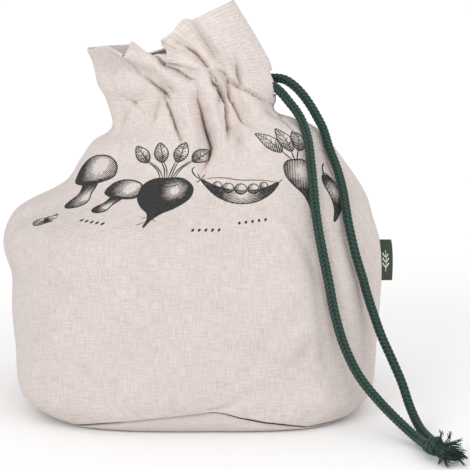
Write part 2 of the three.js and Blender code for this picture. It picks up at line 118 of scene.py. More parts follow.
BODY_DENTS = [   # at, row, lean, tall, wide, deep
    (158, 6.6, 3, 1.1, 7, 0.7), (52, 5.2, -3, 3.2, 5, 0.45), (34, 4.2, -4, 2.2, 5, 0.4),
    (20, 8.2, -6, 1.2, 6, 0.5), (60, 1.6, 12, 1.2, 9, 0.4), (100, 3, 0, 3, 30, -0.25),
    (215, 6.5, 4, 1.6, 9, 0.6), (300, 5, 6, 3, 8, 0.5), (255, 2.5, -8, 2, 10, 0.4),
]
RIM_COLUMNS = ("around", "side", "forward", "up")
RIM_FOLDS = [
    (0, 0.49, 0, 1), (20, 0.425, 0.38, 0.975), (40, 0.25, 0.66, 0.895), (52, 0.11, 0.75, 0.82),
    (58, 0, 0.77, 0.765), (62, -0.1, 0.75, 0.766), (67, -0.22, 0.73, 0.6),
    (70.5, -0.35, 0.68, 0.485), (72.5, -0.345, 0.66, 0.45), (76, -0.28, 0.85, 0.37),
    (80, -0.29, 1.1, 0.22), (86, -0.38, 0.88, 0.28), (93, -0.495, 0.75, 0.285),
    (101, -0.6, 0.8, 0.39), (107, -0.68, 0.9, 0.487), (111, -0.72, 1.05, 0.4),
    (116, -0.775, 1.2, 0.296), (122, -0.84, 1.2, 0.33), (136, -1, 1, 0.41),
    (150, -1.16, 0.72, 0.345), (163, -1.225, 0.45, 0.32), (176, -1.235, 0.05, 0.325),
    (184, -1.225, -0.1, 0.312), (202, -1.12, -0.45, 0.305), (218, -0.95, -0.72, 0.3),
    (232, -0.76, -0.8, 0.31), (238, -0.7, -0.8, 0.314), (244, -0.6, -0.68, 0.22),
    (256, -0.42, -0.6, 0.26), (276, -0.14, -0.76, 0.38), (300, 0.12, -0.56, 0.56),
    (322, 0.32, -0.6, 0.83), (342, 0.44, -0.3, 0.94),
]
LAST_ROW = len(WALL_SECTIONS) - 1
print(len(WALL_SECTIONS), "sections,", len(NECK_FOLDS), "neck folds,", len(RIM_FOLDS), "rim rows")

# %% A smooth value between the rows of a table
def eased(share):
    """From 0 to 1 with a soft start and end."""
    share = np.clip(share, 0, 1)
    return share * share * (3 - 2 * share)


def hermite(before, start, end, after, share):
    slope_start, slope_end = (end - before) / 2, (after - start) / 2
    square = share * share
    cube = square * share
    return ((2 * cube - 3 * square + 1) * start + (cube - 2 * square + share) * slope_start
            + (3 * square - 2 * cube) * end + (cube - square) * slope_end)


def table_value(table, columns, column, row, ring=False):
    """A column's value at a row with a fraction. The rows of a ring start again after the last."""
    values = np.array([entry[columns.index(column)] for entry in table], dtype=float)
    count = len(values)
    lower = np.floor(row) if ring else np.clip(np.floor(row), 0, count - 2)
    pick = (lambda index: values[index % count]) if ring else (
        lambda index: values[np.clip(index, 0, count - 1)])
    first = lower.astype(int)
    return hermite(pick(first - 1), pick(first), pick(first + 1), pick(first + 2), row - lower)


def apart(around, at):
    """Degrees from one place around to another, from -180 to 180."""
    return (around - at + 180) % 360 - 180


def wall_value(column, row):
    return table_value(WALL_SECTIONS, SECTION_COLUMNS, column, row)


print("square halfway up:", wall_value("square", np.array([7.0])))

# %% The body's section with its large folds
def direction(around, square):
    angle = np.radians(around)
    side, forward = np.cos(angle), np.sin(angle)
    full = (np.abs(side) ** square + np.abs(forward) ** square) ** (-1 / square)
    return side * full, forward * full


def section_point(around, row):
    around, row = np.broadcast_arrays(np.asarray(around, float), np.asarray(row, float))
    side, forward = direction(around, wall_value("square", row))
    left = (NECK_WIDTH + (BODY_WIDTH - NECK_WIDTH) * wall_value("left", row)) / 2
    right = (NECK_WIDTH + (BODY_WIDTH - NECK_WIDTH) * wall_value("right", row)) / 2
    share = np.where(forward > 0, wall_value("front", row), wall_value("back", row))
    deep = (NECK_DEPTH + (BODY_DEPTH - NECK_DEPTH) * share) / 2
    crown = np.where(forward > 0, wall_value("crown", row) * forward ** 4, 0)
    low, high = wall_value("left_up", row), wall_value("right_up", row)
    up = low + (high - low) * (side + 1) / 2 + crown
    return np.stack([(right - left) / 2 + side * (right + left) / 2, -forward * deep,
                     up * NECK_HEIGHT], axis=-1)


def outward(surface, first, second, first_step=0.5, second_step=0.02):
    along = surface(first + first_step, second) - surface(first - first_step, second)
    up = surface(first, second + second_step) - surface(first, second - second_step)
    normal = np.cross(up, along)
    return normal / np.linalg.norm(normal, axis=-1, keepdims=True)


def fold_depth(around, row):
    depth = 0
    calm = 1 - 0.6 * np.clip(np.sin(np.radians(around)) * 2, 0, 1)
    for at, lean, reach, wide, deep in NECK_FOLDS:
        along = np.clip((LAST_ROW - row) / reach, None, 1)
        across = apart(around, at + lean * along) / (wide * (1 + along))
        depth = depth + deep * (1 - along * along) * np.exp(-across * across)
    depth = depth * wall_value("gather", row) * calm
    for at, centre, lean, tall, wide, deep in BODY_DENTS:
        along = (row - centre) / tall
        across = apart(around, at - lean * along) / wide
        depth = depth + deep * np.exp(-along * along - across * across)
    return depth * PLEAT_DEPTH


def folded_point(around, row):
    out = outward(section_point, around, row)
    return section_point(around, row) - out * fold_depth(around, row)[..., None]


print("front of the neck:", folded_point(np.array([90.0]), np.array([13.9])).round(4))

# %% [markdown]
# ## Folds drawn from the front
# The front is the side that a customer sees, so its folds follow the photograph one by one. Each
# is drawn as a line across the camera's picture, in pixels, with its depth in millimetres at
# every point. A valley sinks to both sides of its line, and one of negative depth is a ridge. A
# step sinks on one side only, right of the line on its way, as where one fold of cloth lies over
# the next.

# %% Folds of the front
PICTURE_FOCAL = PICTURE_PIXELS * LENS_MM / SENSOR_MM
MIDDLE = PICTURE_PIXELS / 2


def in_picture(points):
    """Where points fall in the camera's picture, in pixels."""
    look = np.array([0, math.cos(LOOK_DOWN), -math.sin(LOOK_DOWN)])
    upward = np.array([0, math.sin(LOOK_DOWN), math.cos(LOOK_DOWN)])
    away = points - np.array(camera.location)
    depth = away @ look
    return np.stack([MIDDLE + PICTURE_FOCAL * away[..., 0] / depth,
                     MIDDLE - PICTURE_FOCAL * (away @ upward) / depth], axis=-1)


FRONT_FOLDS = [
    ("step", 7.0, [(163.5, 95.5, 5.5), (155, 88, 4.5), (143, 77.5, 3), (126, 64, 1.2)]),
    ("valley", 7.5, [(133, 53, -1.5), (155, 67, -3), (178, 80, -1.5)]),
    ("step", 5.0, [(165, 57, 2.2), (166, 62.5, 4), (179, 70, 4.5), (190, 77.5, 3), (199, 80, 0)]),
    ("valley", 2.6, [(170, 41, 0.8), (182, 44, 2), (195, 53.5, 3.2), (205, 63, 3.2),
                     (211, 69.5, 2.6), (216, 74, 0.5)]),
    ("valley", 7.0, [(181, 55, -1.8), (195, 67, -2.2), (206, 74, -1)]),
    ("valley", 6.5, [(189, 21, 2.4), (202, 36.5, 4.2), (214, 53, 4), (223, 66, 2)]),
    ("valley", 5.0, [(205, 30, -0.6), (217, 46, -2), (226, 62, -2.4), (230, 72, -1)]),
    ("valley", 3.4, [(236, 54, 0.6), (239, 64, 2.6), (240.5, 73, 3.4), (243, 84.5, 3.2),
                     (244, 88, 0.4)]),
    ("step", 6.5, [(227, 77, 2.5), (237, 83.5, 3.4), (249, 90, 3.2), (266, 99.5, 2.4),
                   (277, 105, 1)]),
    ("valley", 2.2, [(209, 69, -1.5), (216, 70.5, -3), (224, 74.5, -3), (230, 80, -1.5)]),
    ("valley", 1.8, [(211, 77, 2), (214, 83.5, 4), (219, 86, 5), (223.5, 96, 6.5), (225, 101, 3)]),
    ("valley", 2.2, [(213, 75, -2.2), (220, 79, -3.4), (225, 87, -2.4), (229, 97, -1)]),
    ("valley", 1.8, [(207, 70.5, 1), (212.5, 74.5, 3.6), (217.5, 78.5, 4), (217, 84, 1)]),
    ("valley", 1.8, [(219, 69.5, 1), (225.5, 73.5, 3.6), (229.5, 79, 3.4), (232, 86, 0.6)]),
    ("valley", 1.6, [(213, 85.5, 1), (219.5, 91, 3.2), (220.5, 98, 2.4), (219.5, 108, 0.4)]),
    ("step", 9.0, [(226.5, 132, 2.5), (226.5, 119, 5), (226, 105, 5.5), (223, 95, 5)]),
    ("valley", 2.4, [(228, 82, 1.5), (232, 96, 4), (238, 107, 3), (245, 116, 1.6),
                     (252, 122, 0.3)]),
    ("valley", 2.8, [(197, 84, 1), (198.5, 93, 1.6), (198, 101, 2), (202, 112, 3.4),
                     (206.5, 126, 5.5), (211, 139, 6), (209, 152, 3.6), (204, 166, 1.8),
                     (198, 180, 0.3)]),
    ("step", 5.0, [(179, 138, 2.2), (171, 120.5, 3.8), (165.5, 106.5, 3), (161, 96, 2)]),
    ("valley", 4.0, [(160.5, 98, 0.6), (157, 106.5, 1.8), (153, 118, 1.3), (149, 128, 0.2)]),
    ("valley", 3.6, [(120, 96.5, 0.3), (128, 101.5, 1.6), (134, 105, 2), (139, 101, 0.8)]),
    ("step", 9.0, [(136, 102.5, 0.6), (129, 112, 1.4), (122, 124, 1), (118, 131, 0.3)]),
    ("valley", 1.8, [(166, 84, 0.4), (169.5, 88, 2), (173, 92.5, 1.2)]),
    ("valley", 7.0, [(183, 92, -1), (187, 108, -2.4), (192, 124, -2), (195, 140, -0.6)]),
    ("valley", 6.0, [(212, 95, -1), (216, 112, -2.2), (219, 130, -1.4), (221, 145, -0.2)]),
    ("valley", 9.0, [(250, 98, -0.6), (262, 112, -2), (270, 128, -1)]),
    ("valley", 13.0, [(202, 106, 0.8), (206, 126, 4.0), (206, 146, 3.6), (200, 165, 0.6)]),
    ("valley", 12.0, [(234, 98, 0.6), (244, 112, 2.0), (256, 124, 1.4), (270, 134, 0.2)]),
    ("valley", 10.0, [(150, 106, 0.4), (156, 118, 1.2), (164, 134, 0.3)]),
    ("valley", 2.4, [(206, 412, 0.3), (214, 411.5, 2.2), (226, 409, 1.8), (238, 406, 0.8),
                     (250, 403, 0.1)]),
    ("valley", 2.0, [(286, 423.5, 0.2), (298, 425, 1.4), (308, 426, 0.2)]),
    ("valley", 8.0, [(236, 122, 2), (240, 134, 3), (238, 148, 1.4), (234, 162, 0.2)]),
    ("valley", 2.0, [(277, 108, 0.5), (287, 120, 2), (296, 130, 1.6), (302, 140, 0.3)]),
    ("valley", 6.0, [(58, 196, 0.6), (54, 211, 2.6), (50, 226, 0.8)]),
    ("valley", 8.0, [(309, 219, 0.5), (315, 260, 1.8), (320, 300, 2.4), (328, 356, 2),
                     (343, 397, 0.6)]),
    ("valley", 6.0, [(350, 258, 0.4), (358, 300, 1.5), (366, 346, 0.4)]),
    ("valley", 3.0, [(338, 167, 0.3), (346, 174, 1.8), (356, 182, 1)]),
    ("valley", 8.0, [(318, 338, 0.4), (305, 355, 3.2), (288, 372, 1)]),
    ("valley", 9.0, [(306, 338, -0.4), (294, 352, -1.6), (278, 366, -0.4)]),
    ("valley", 7.0, [(219, 409, 0.6), (236, 402, 3), (256, 395, 2.8), (276, 385, 0.6)]),
    ("valley", 8.0, [(246, 410, -0.4), (262, 405, -1.4), (280, 396, -0.4)]),
    ("valley", 10.0, [(280, 330, 0.2), (296, 318, 1.2), (310, 306, 0.2)]),
]


NECK_LINE, NECK_DEEPER = 185, 0.6   # above this picture row the folds are deeper by this share


def front_depth(points, normals):
    """How far the drawn folds sink the cloth at points of the front, in metres."""
    seen = in_picture(points)
    facing = normals @ np.array([0, -math.cos(LOOK_DOWN), math.sin(LOOK_DOWN)])
    depth = np.zeros(len(points))
    for kind, wide, line in FRONT_FOLDS:
        nearest = np.full(len(points), np.inf)
        here = np.zeros(len(points))
        for (x0, y0, d0), (x1, y1, d1) in zip(line, line[1:]):
            run = np.array([x1 - x0, y1 - y0])
            length = run @ run
            offset = seen - np.array([x0, y0])
            share = np.clip(offset @ run / length, 0, 1)
            away = offset - share[:, None] * run
            apart_by = np.hypot(away[:, 0], away[:, 1])
            deep = d0 + (d1 - d0) * share
            if kind == "step":
                right = (run[0] * offset[:, 1] - run[1] * offset[:, 0]) / math.sqrt(length)
                value = deep * eased(right / 1.2 + 0.4) * np.exp(-apart_by / wide)
            else:   # a valley has a sharp bottom, a ridge a round top
                valley = np.exp(1 - np.sqrt(1 + (2.2 * apart_by / wide) ** 2))
                value = deep * np.where(deep > 0, valley, np.exp(-(apart_by / wide) ** 2))
            closer = apart_by < nearest
            here = np.where(closer, value, here)
            nearest = np.minimum(nearest, apart_by)
        depth += here
    at_neck = 1 + NECK_DEEPER * np.clip((NECK_LINE - seen[:, 1]) / 30, 0, 1)
    return depth * at_neck * np.clip((facing - 0.05) / 0.3, 0, 1) * MM


print(len(FRONT_FOLDS), "folds on the front")

# %% [markdown]
# ## Small gathers and creases
# A drawstring bunches the cloth into many narrow pleats, no two alike, which fade out below the
# neck. Each is a valley with its own place, width and reach. Long soft creases over the body
# are valleys along a short line. Both are kept apart from the large folds, which the solids
# have too.

# %% Gathers at the neck
chance = random.Random(11)
GATHERS = []
place = 3.0
while place < 358:
    width = chance.uniform(1.6, 3.4)
    GATHERS.append((place, width, chance.uniform(0.5, 1.0), chance.uniform(1.2, 3.6),
                    chance.uniform(-2.5, 2.5)))
    place += width * chance.uniform(1.7, 3.0)
GATHER_DEPTH = 1.9 * MM
FRONT_CALM = 0.75   # the drawn folds take the place of most small pleats at the front
print(len(GATHERS), "gathers")


def gather_depth(around, below):
    """How deep the small pleats are at a number of rows below the channel, or above it."""
    depth = 0
    for at, width, deep, reach, lean in GATHERS:
        along = np.clip(below / reach, 0, 1)
        across = apart(around, at + lean * along) / (width * (1 + 0.7 * along))
        depth = depth + deep * (1 - along) ** 1.3 * np.exp(-across * across)
    front = np.clip(np.sin(np.radians(around)) * 2.2, 0, 1)
    return depth * GATHER_DEPTH * (1 - FRONT_CALM * front)


# %% Creases over the body
CREASES = [   # from, to, wide, deep
    ((158, 7.9), (167, 6.4), 3.0, 1.5), ((60, 7.6), (52, 4.5), 4.5, 1.6),
    ((52, 4.5), (40, 1.6), 4.5, 1.3), ((30, 6.6), (24, 3.6), 3.6, 1.2),
    ((70, 2.2), (84, 1.2), 3.5, 1.4), ((98, 1.9), (106, 1.2), 3.5, 1.0),
    ((27, 10.2), (18, 9.6), 1.6, 1.4), ((150, 4.6), (166, 3.2), 5.0, 1.2),
    ((120, 3.6), (140, 1.4), 6.0, 1.1), ((112, 7.4), (128, 5.6), 5.0, 0.9),
]
SMALL_CREASES = 46
for _ in range(SMALL_CREASES):
    start = chance.uniform(0, 360), chance.uniform(0.6, 7.5)
    end = start[0] + chance.uniform(-16, 16), start[1] + chance.uniform(-2.4, 2.4)
    CREASES.append((start, end, chance.uniform(2.5, 7), chance.uniform(-0.5, 0.6)))
AROUND_MM, ROW_MM = 2.3, 21.0   # how far a degree and a row reach on the body, about


def crease_depth(around, row):
    """Valleys along lines on the cloth, in metres. A negative one is a ridge."""
    depth = 0
    for (start, low), (end, high), wide, deep in CREASES:
        step_x, step_y = (end - start) * AROUND_MM, (high - low) * ROW_MM
        from_x, from_y = apart(around, start) * AROUND_MM, (row - low) * ROW_MM
        length = step_x * step_x + step_y * step_y
        share = np.clip((from_x * step_x + from_y * step_y) / length, 0, 1)
        away = (from_x - share * step_x) ** 2 + (from_y - share * step_y) ** 2
        ends = 0.35 + 0.65 * np.sin(np.pi * share)
        depth = depth + deep * ends * np.exp(-away / wide ** 2)
    return depth * MM


print(len(CREASES), "creases")

# %% [markdown]
# ## One cloth from seam to hem
# The main cloth runs in one piece from the bottom seam over the shoulder, over the sleeve of the
# cord and up to the hem. So every piece that shows it takes its places from one surface: first
# without folds, then sunk along its normal by the sum of all the folds. A place on it counts the
# rows of the section table, then 1 over the sleeve and 1 up the frill.

# %% The lines of the sleeve and the frill
CHANNEL_TOP = LAST_ROW + 1
HEM = LAST_ROW + 2
CHANNEL_SWELL, EXIT_SWELL = 1.2 * MM, 2.0 * MM   # the cord fills the sleeve most at its exit


def channel_line(around, level):
    lower = section_point(around, np.full_like(around, LAST_ROW))
    side, _ = direction(around, 2)
    tall = 1 + CHANNEL_RIGHT_RISE * eased(side)
    return lower + np.stack([(CHANNEL_LEAN + side * CHANNEL_FLARE) * CHANNEL_HEIGHT * level,
                             np.zeros_like(level),
                             CHANNEL_HEIGHT * tall * level], axis=-1)


def rim_value(column, row):
    return table_value(RIM_FOLDS, RIM_COLUMNS, column, row, ring=True)


def rim_row(around):
    """The row of the rim table that starts at a place around."""
    starts = [entry[0] for entry in RIM_FOLDS] + [360]
    return np.interp(around % 360, starts, np.arange(len(starts)))


def frill_line(around, level):
    row = rim_row(around)
    start = channel_line(around, np.ones_like(around))
    risen = start + np.array([0, 0, FRILL_RISE])
    rim = np.stack([rim_value("side", row) * NECK_WIDTH / 2,
                    -rim_value("forward", row) * NECK_DEPTH / 2,
                    NECK_HEIGHT + CHANNEL_HEIGHT + rim_value("up", row) * FRILL_HEIGHT], axis=-1)
    level = level[:, None]
    return (1 - level) ** 2 * start + 2 * (1 - level) * level * risen + level ** 2 * rim


print("hem at the right:", frill_line(np.array([0.0]), np.array([1.0])).round(4))


# %% The cloth with all its folds
def bare_cloth(around, place):
    body = section_point(around, np.clip(place, 0, LAST_ROW))
    sleeve = channel_line(around, np.clip(place - LAST_ROW, 0, 1))
    frill = frill_line(around, np.clip(place - CHANNEL_TOP, 0, 1))
    return np.where((place < LAST_ROW)[:, None], body,
                    np.where((place < CHANNEL_TOP)[:, None], sleeve, frill))


def cloth_out(around, place):
    """The way out of the cloth, which turns smoothly from the body's to the frill's."""
    body = outward(section_point, around, np.clip(place, 0, LAST_ROW))
    level = np.clip(place - CHANNEL_TOP, 0, 1)
    free = outward(frill_line, around, level, 0.4, 0.02)
    share = eased(level / 0.4)[:, None]
    mixed = body * (1 - share) + free * share
    return mixed / np.linalg.norm(mixed, axis=-1, keepdims=True)


BACK_WAVE = 2.6 * MM      # how far the seam rises and falls where the camera can't see it
SEAM_CLEAR = 2.2 * MM     # the seam stays this far above the floor
SEAM_LINE = [(20, 426), (66, 426), (86, 425), (132, 421.6), (184, 416), (213, 413), (224, 414.5),
             (240, 419), (264, 423), (306, 427.5), (340, 428), (390, 425)]


def seam_drop(around):
    """How far the bottom seam hangs below its section, so that it follows its line at the front."""
    edge = section_point(around, np.zeros_like(around))
    seen = in_picture(edge)
    wanted = np.interp(seen[:, 0], [x for x, _ in SEAM_LINE], [y for _, y in SEAM_LINE])
    per_metre = PICTURE_FOCAL / DISTANCE * math.cos(LOOK_DOWN)
    front = eased(np.sin(np.radians(around)) / 0.25)
    drop = np.clip((wanted - seen[:, 1]) / per_metre, -3 * MM, None) * front
    drop = drop + BACK_WAVE * np.sin(np.radians(3 * around) + 1) * (1 - front)
    return np.minimum(drop, edge[:, 2] - SEAM_CLEAR)


def seam_depth(around, place):
    """The cloth turns in to the bottom seam, and the side seams draw it in along a line."""
    sides = np.exp(-(apart(around, 0) / 1.1) ** 2) + np.exp(-(apart(around, 180) / 1.1) ** 2)
    return 1.6 * MM * np.exp(-(place / 0.09) ** 2) + 0.8 * MM * sides


def cloth_point(around, place, inset=0.0):
    """A place on the finished cloth, or below its face by an inset."""
    row = np.clip(place, 0, LAST_ROW)
    sleeve = np.sin(np.pi * np.clip(place - LAST_ROW, 0, 1))
    open_up = 1 - np.clip(place - CHANNEL_TOP, 0, 1)
    at_exit = np.exp(-(apart(around, 0) / 36) ** 2) * eased(1.5 - np.abs(place - LAST_ROW - 0.5))
    start, out = bare_cloth(around, place), cloth_out(around, place)
    pleats = (fold_depth(around, row) * (1 - 0.5 * sleeve) * open_up ** 1.5
              + gather_depth(around, LAST_ROW - row) * (1 - 0.3 * sleeve) * open_up ** 1.3)
    depth = (pleats * (1 - 0.85 * at_exit) + crease_depth(around, row) + seam_depth(around, place)
             - (CHANNEL_SWELL + EXIT_SWELL * at_exit) * sleeve * sleeve + front_depth(start, out))
    start[:, 2] -= seam_drop(around) * (1 - eased(place / 1.3))
    return start - out * (depth + inset)[..., None]


print("body cloth at the front:", cloth_point(np.array([90.0]), np.array([3.0])).round(4))

# %% Where the threads lie
def distances(line):
    """How far along a line each of its points lies."""
    return np.concatenate([[0], np.cumsum(np.linalg.norm(np.diff(line, axis=0), axis=1))])


def around_of(across):
    """The place around at a share of a grid's columns, which run the other way."""
    return 360 * (1 - across)


fine_place = np.linspace(0, HEM, 321)
front_line = bare_cloth(np.full_like(fine_place, 90.0), fine_place)
cloth_rise = distances(front_line)


def threads_at(around, place):
    """The place on the flat cloth in metres. At the neck some of its width is lost in folds.

    Each of the two panels is measured from its own middle, so this gives the front's places
    across, the back's, and the height that both share.
    """
    width = np.interp(place, [0, 7, LAST_ROW, HEM], [0.84, 0.84, 0.46, 0.5])
    return (width * (around - 90) / 360, width * (around - 270) / 360 + 0.5,
            np.interp(place, fine_place, cloth_rise))


def threads_on(place_of):
    """The thread places of a grid whose rows lie where place_of(up) says."""
    return lambda across, up: threads_at(around_of(across), place_of(up))


print("cloth from seam to hem:", round(cloth_rise[-1], 3), "m")

# %% [markdown]
# ## Sheets from a grid
# Each cloth piece starts as one flat grid, as cloth starts flat, and is moved onto its shape
# in one go. The grid brings its own UV map, scaled to the real width and height of the cloth,
# so the weave keeps its true size and crowds together where the cloth is gathered.

# %% A grid wrapped onto a shape
def wrapped_grid(columns, rows, shape_of, flat, close=False, keep=None, extra=None):
    """A bmesh grid whose places come from shape_of(across, up), both from 0 to 1.

    Flat is the width and height of the flat piece, or a function that gives the thread places
    for the half that becomes the front, the half that becomes the back, and their heights.
    """
    cloth = bmesh.new()
    weave = cloth.loops.layers.uv.new("cloth")
    bmesh.ops.create_grid(cloth, x_segments=columns, y_segments=rows, size=0.5, calc_uvs=True)
    across = np.array([vertex.co.x + 0.5 for vertex in cloth.verts])
    up = np.array([vertex.co.y + 0.5 for vertex in cloth.verts])
    # The "fold" layer holds a share of painted shade: of the cloth's hollows, or of a braid's
    # grooves.
    shade = cloth.verts.layers.float.new("fold")
    if extra is not None:
        for vertex, value in zip(cloth.verts, extra(across, up)):
            vertex[shade] = value
    if keep is not None:
        kept = keep(across, up)
        gone = [vertex for vertex, stays in zip(cloth.verts, kept) if not stays]
    front, back, height = flat(across, up) if callable(flat) else (
        across * flat[0], across * flat[0], up * flat[1])
    cloth.verts.index_update()
    for face in cloth.faces:
        side = front if face.calc_center_median().x > 0 else back
        for loop in face.loops:
            number = loop.vert.index
            loop[weave].uv = side[number], height[number]
    for vertex, point in zip(cloth.verts, shape_of(across, up)):
        vertex.co = point
    if keep is not None:
        bmesh.ops.delete(cloth, geom=gone, context="VERTS")
    if close:
        bmesh.ops.remove_doubles(cloth, verts=cloth.verts, dist=2e-6)
    return cloth


PAINTED_SHADE_FADE = 40 * MM


def paint_shade_in_hollows(made, full, turns=26, low=-1.0):
    """Marks how far each place lies below the smoothed cloth, from 0 to 1 at the full depth: the
    share of painted shade there, which the cloth's material turns browner and darker.

    The mark fades in above the height called low, so that the painted shade stays in the neck's
    folds.
    """
    calm = made.copy()
    for _ in range(turns):
        bmesh.ops.smooth_vert(calm, verts=calm.verts, factor=0.5, use_axis_x=True,
                              use_axis_y=True, use_axis_z=True)
    made.normal_update()
    shade = made.verts.layers.float["fold"]
    for vertex, above in zip(made.verts, calm.verts):
        sunk = (above.co - vertex.co).dot(vertex.normal)
        faded = float(eased((vertex.co.z - low) / PAINTED_SHADE_FADE))
        vertex[shade] = 0 if vertex.is_boundary else min(max(sunk / full, 0), 1) * faded
    calm.free()
    return made


def as_object(name, made, material):
    """A bmesh as a smooth piece of the bag that rides on its root."""
    data = bpy.data.meshes.new(name)
    made.to_mesh(data)
    made.free()
    for face in data.polygons:
        face.use_smooth = True
    data.set_sharp_from_angle(angle=math.radians(65))
    piece = bpy.data.objects.new(name, data)
    bpy.context.scene.collection.objects.link(piece)
    data.materials.append(material)
    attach(piece, "root")
    print(name, len(data.polygons), "faces", [round(side, 3) for side in piece.dimensions])
    return piece


def thicken(piece, thickness, offset=-1):
    solid = piece.modifiers.new("Cloth thickness", "SOLIDIFY")
    solid.thickness, solid.offset, solid.use_even_offset = thickness, offset, False


# %% [markdown]
# ## Materials
# Linen and cotton reflect light in all directions, so their roughness is high and the interest
# is in the threads: a plain weave and uneven slubs. The deepest folds get a browner, darker
# painted shade, where light passes from fold to fold, and a braid's grooves a painted shade too.
# Each colour is a hex value, turned to linear by one function.

# %% Colours and nodes
def linear(colour):
    channels = [int(colour[index:index + 2], 16) / 255 for index in (1, 3, 5)]
    return [value / 12.92 if value <= 0.04045 else ((value + 0.055) / 1.055) ** 2.4
            for value in channels] + [1]


def new_material(name):
    material = bpy.data.materials.new(name)
    material.use_nodes = True
    material.node_tree.nodes.clear()
    return material, material.node_tree


def add(tree, kind, settings=None, **inputs):
    """Adds a node. Settings are its properties; each input is a value or another node's output."""
    node = tree.nodes.new("ShaderNode" + kind)
    for key, value in (settings or {}).items():
        setattr(node, key, value)
    for key, value in inputs.items():
        socket = node.inputs[int(key[1:])] if key[0] == "i" and key[1:].isdigit() else (
            node.inputs[key.replace("_", " ")])
        if isinstance(value, bpy.types.NodeSocket):
            tree.links.new(value, socket)
        else:
            socket.default_value = value
    return node


def ramp(tree, factor, *stops):
    node = add(tree, "ValToRGB", Fac=factor)
    elements = node.color_ramp.elements
    while len(elements) < len(stops):
        elements.new(0.5)
    for element, (position, colour) in zip(elements, stops):
        element.position = position
        element.color = linear(colour) if isinstance(colour, str) else [colour] * 3 + [1]
    return node.outputs["Color"]


def calculated(tree, operation, *values):
    inputs = {f"i{number}": value for number, value in enumerate(values)}
    return add(tree, "Math", {"operation": operation}, **inputs).outputs[0]


def noise(tree, place, scale, detail, **more):
    return add(tree, "TexNoise", Vector=place, Scale=scale, Detail=detail, **more).outputs["Fac"]


def multiplied(tree, first, second):
    """One colour times another."""
    return add(tree, "Mix", {"data_type": "RGBA", "blend_type": "MULTIPLY"}, i0=1.0, i6=first,
               i7=second).outputs[2]


def cloth_uv(tree):
    return add(tree, "UVMap", {"uv_map": "cloth"}).outputs["UV"]


def painted_shade_share(tree):
    """The share of painted shade left on the mesh: in the cloth's hollows, or in a braid's grooves.
    """
    return add(tree, "Attribute", {"attribute_name": "fold"}).outputs["Fac"]


def object_place(tree):
    return add(tree, "TexCoord").outputs["Object"]


def bumped(tree, height, strength, distance):
    return add(tree, "Bump", Strength=strength, Distance=distance, Height=height).outputs["Normal"]


def surfaced(tree, **inputs):
    """Ends a material's nodes with a shader."""
    shader = add(tree, "BsdfPrincipled", **inputs)
    add(tree, "OutputMaterial", Surface=shader.outputs["BSDF"])


print("half grey in linear:", round(linear("#808080")[0], 3))

# %% Linen
THREAD_MM = 1.3   # real threads lie about 0.7 mm apart, drawn coarser so that they show
SLUB_LONG_MM, SLUB_THICK_MM = 10, 0.8   # a slub is a thicker stretch of thread


def bands(millimetres):
    """The Wave texture's scale for bands that lie so far apart."""
    return 2 * math.pi / (20 * millimetres * MM)


def linen(name, base, dark, light, fold_shade):
    material, tree = new_material(name)
    uv = cloth_uv(tree)
    threads = [add(tree, "TexWave", {"bands_direction": way}, Vector=uv, Scale=bands(THREAD_MM),
                   Distortion=1.5, Detail=1.0, Detail_Scale=0.3).outputs["Fac"] for way in "XY"]
    weave = calculated(tree, "MAXIMUM", *threads)
    long, thick = 1000 / SLUB_LONG_MM, 1000 / SLUB_THICK_MM
    streaks = [noise(tree, add(tree, "Mapping", Vector=uv, Scale=scale).outputs[0], 1.0, 2.0,
                     Roughness=0.6) for scale in ((long, thick, 1), (thick, long, 1))]
    slubs = calculated(tree, "MULTIPLY", calculated(tree, "ADD", *streaks), 0.5)
    tone = ramp(tree, slubs, (0.37, dark), (0.5, base), (0.62, light))
    # Painted shade: where the cloth lies deepest below its smoothed form, its colour turns towards
    # the fold shade colour, browner and darker.
    deepest = calculated(tree, "POWER", painted_shade_share(tree), 2.0)
    shaded_tone = add(tree, "Mix", {"data_type": "RGBA"}, i0=deepest, i6=tone, i7=linear(fold_shade))
    colour = multiplied(tree, shaded_tone.outputs[2], ramp(tree, weave, (0.1, 0.88), (0.6, 1.0)))
    patches = noise(tree, uv, 26.0, 3.0)
    colour = multiplied(tree, colour, ramp(tree, patches, (0.3, 0.94), (0.7, 1.0)))
    # painted light: towards the neck the colour is a little lighter than on the filled body, as the
    # upper cloth catches more light
    up = add(tree, "SeparateXYZ", Vector=object_place(tree)).outputs["Z"]
    risen = calculated(tree, "DIVIDE", up, NECK_HEIGHT)
    colour = multiplied(tree, colour, ramp(tree, risen, (0.62, 0.905), (0.95, 1.0)))
    height = calculated(tree, "MULTIPLY_ADD", slubs, 1.2, weave)
    surfaced(tree, Base_Color=colour, Roughness=0.92, Sheen_Weight=0.1, Sheen_Roughness=0.5,
             Specular_IOR_Level=0.25, Normal=bumped(tree, height, 0.4, 0.0004))
    return material


# The last colour is the painted shade of the deepest folds.
natural_linen = linen("Natural linen-cotton plain weave", "#d7ccc7", "#cbbfb8", "#e1d8d4",
                      "#a88560")
print("made", natural_linen.name)

# %% Braided cotton and woven tape
def braid(name, base, groove_shade, light):
    material, tree = new_material(name)
    place = object_place(tree)
    fibre = noise(tree, place, 1400.0, 3.0)
    # Painted shade and highlight: the grooves of the plait are darkened and the tops of its
    # stitches lightened.
    colour = ramp(tree, painted_shade_share(tree), (0.0, light), (0.35, base), (0.95, groove_shade))
    colour = multiplied(tree, colour, ramp(tree, fibre, (0.3, 0.72), (0.7, 1.12)))
    colour = multiplied(tree, colour,
                        ramp(tree, noise(tree, place, 60.0, 2.0), (0.3, 0.85), (0.7, 1.0)))
    surfaced(tree, Base_Color=colour, Roughness=0.82, Sheen_Weight=0.15, Sheen_Roughness=0.45,
             Specular_IOR_Level=0.3, Normal=bumped(tree, fibre, 0.3, 0.0002))
    return material


green_cotton = braid("Dark green braided cotton", "#2b443b", "#0e1b16", "#3c5a4f")
dark_yarn = braid("Dark green loose cotton yarn", "#1c2e28", "#101c18", "#243a32")


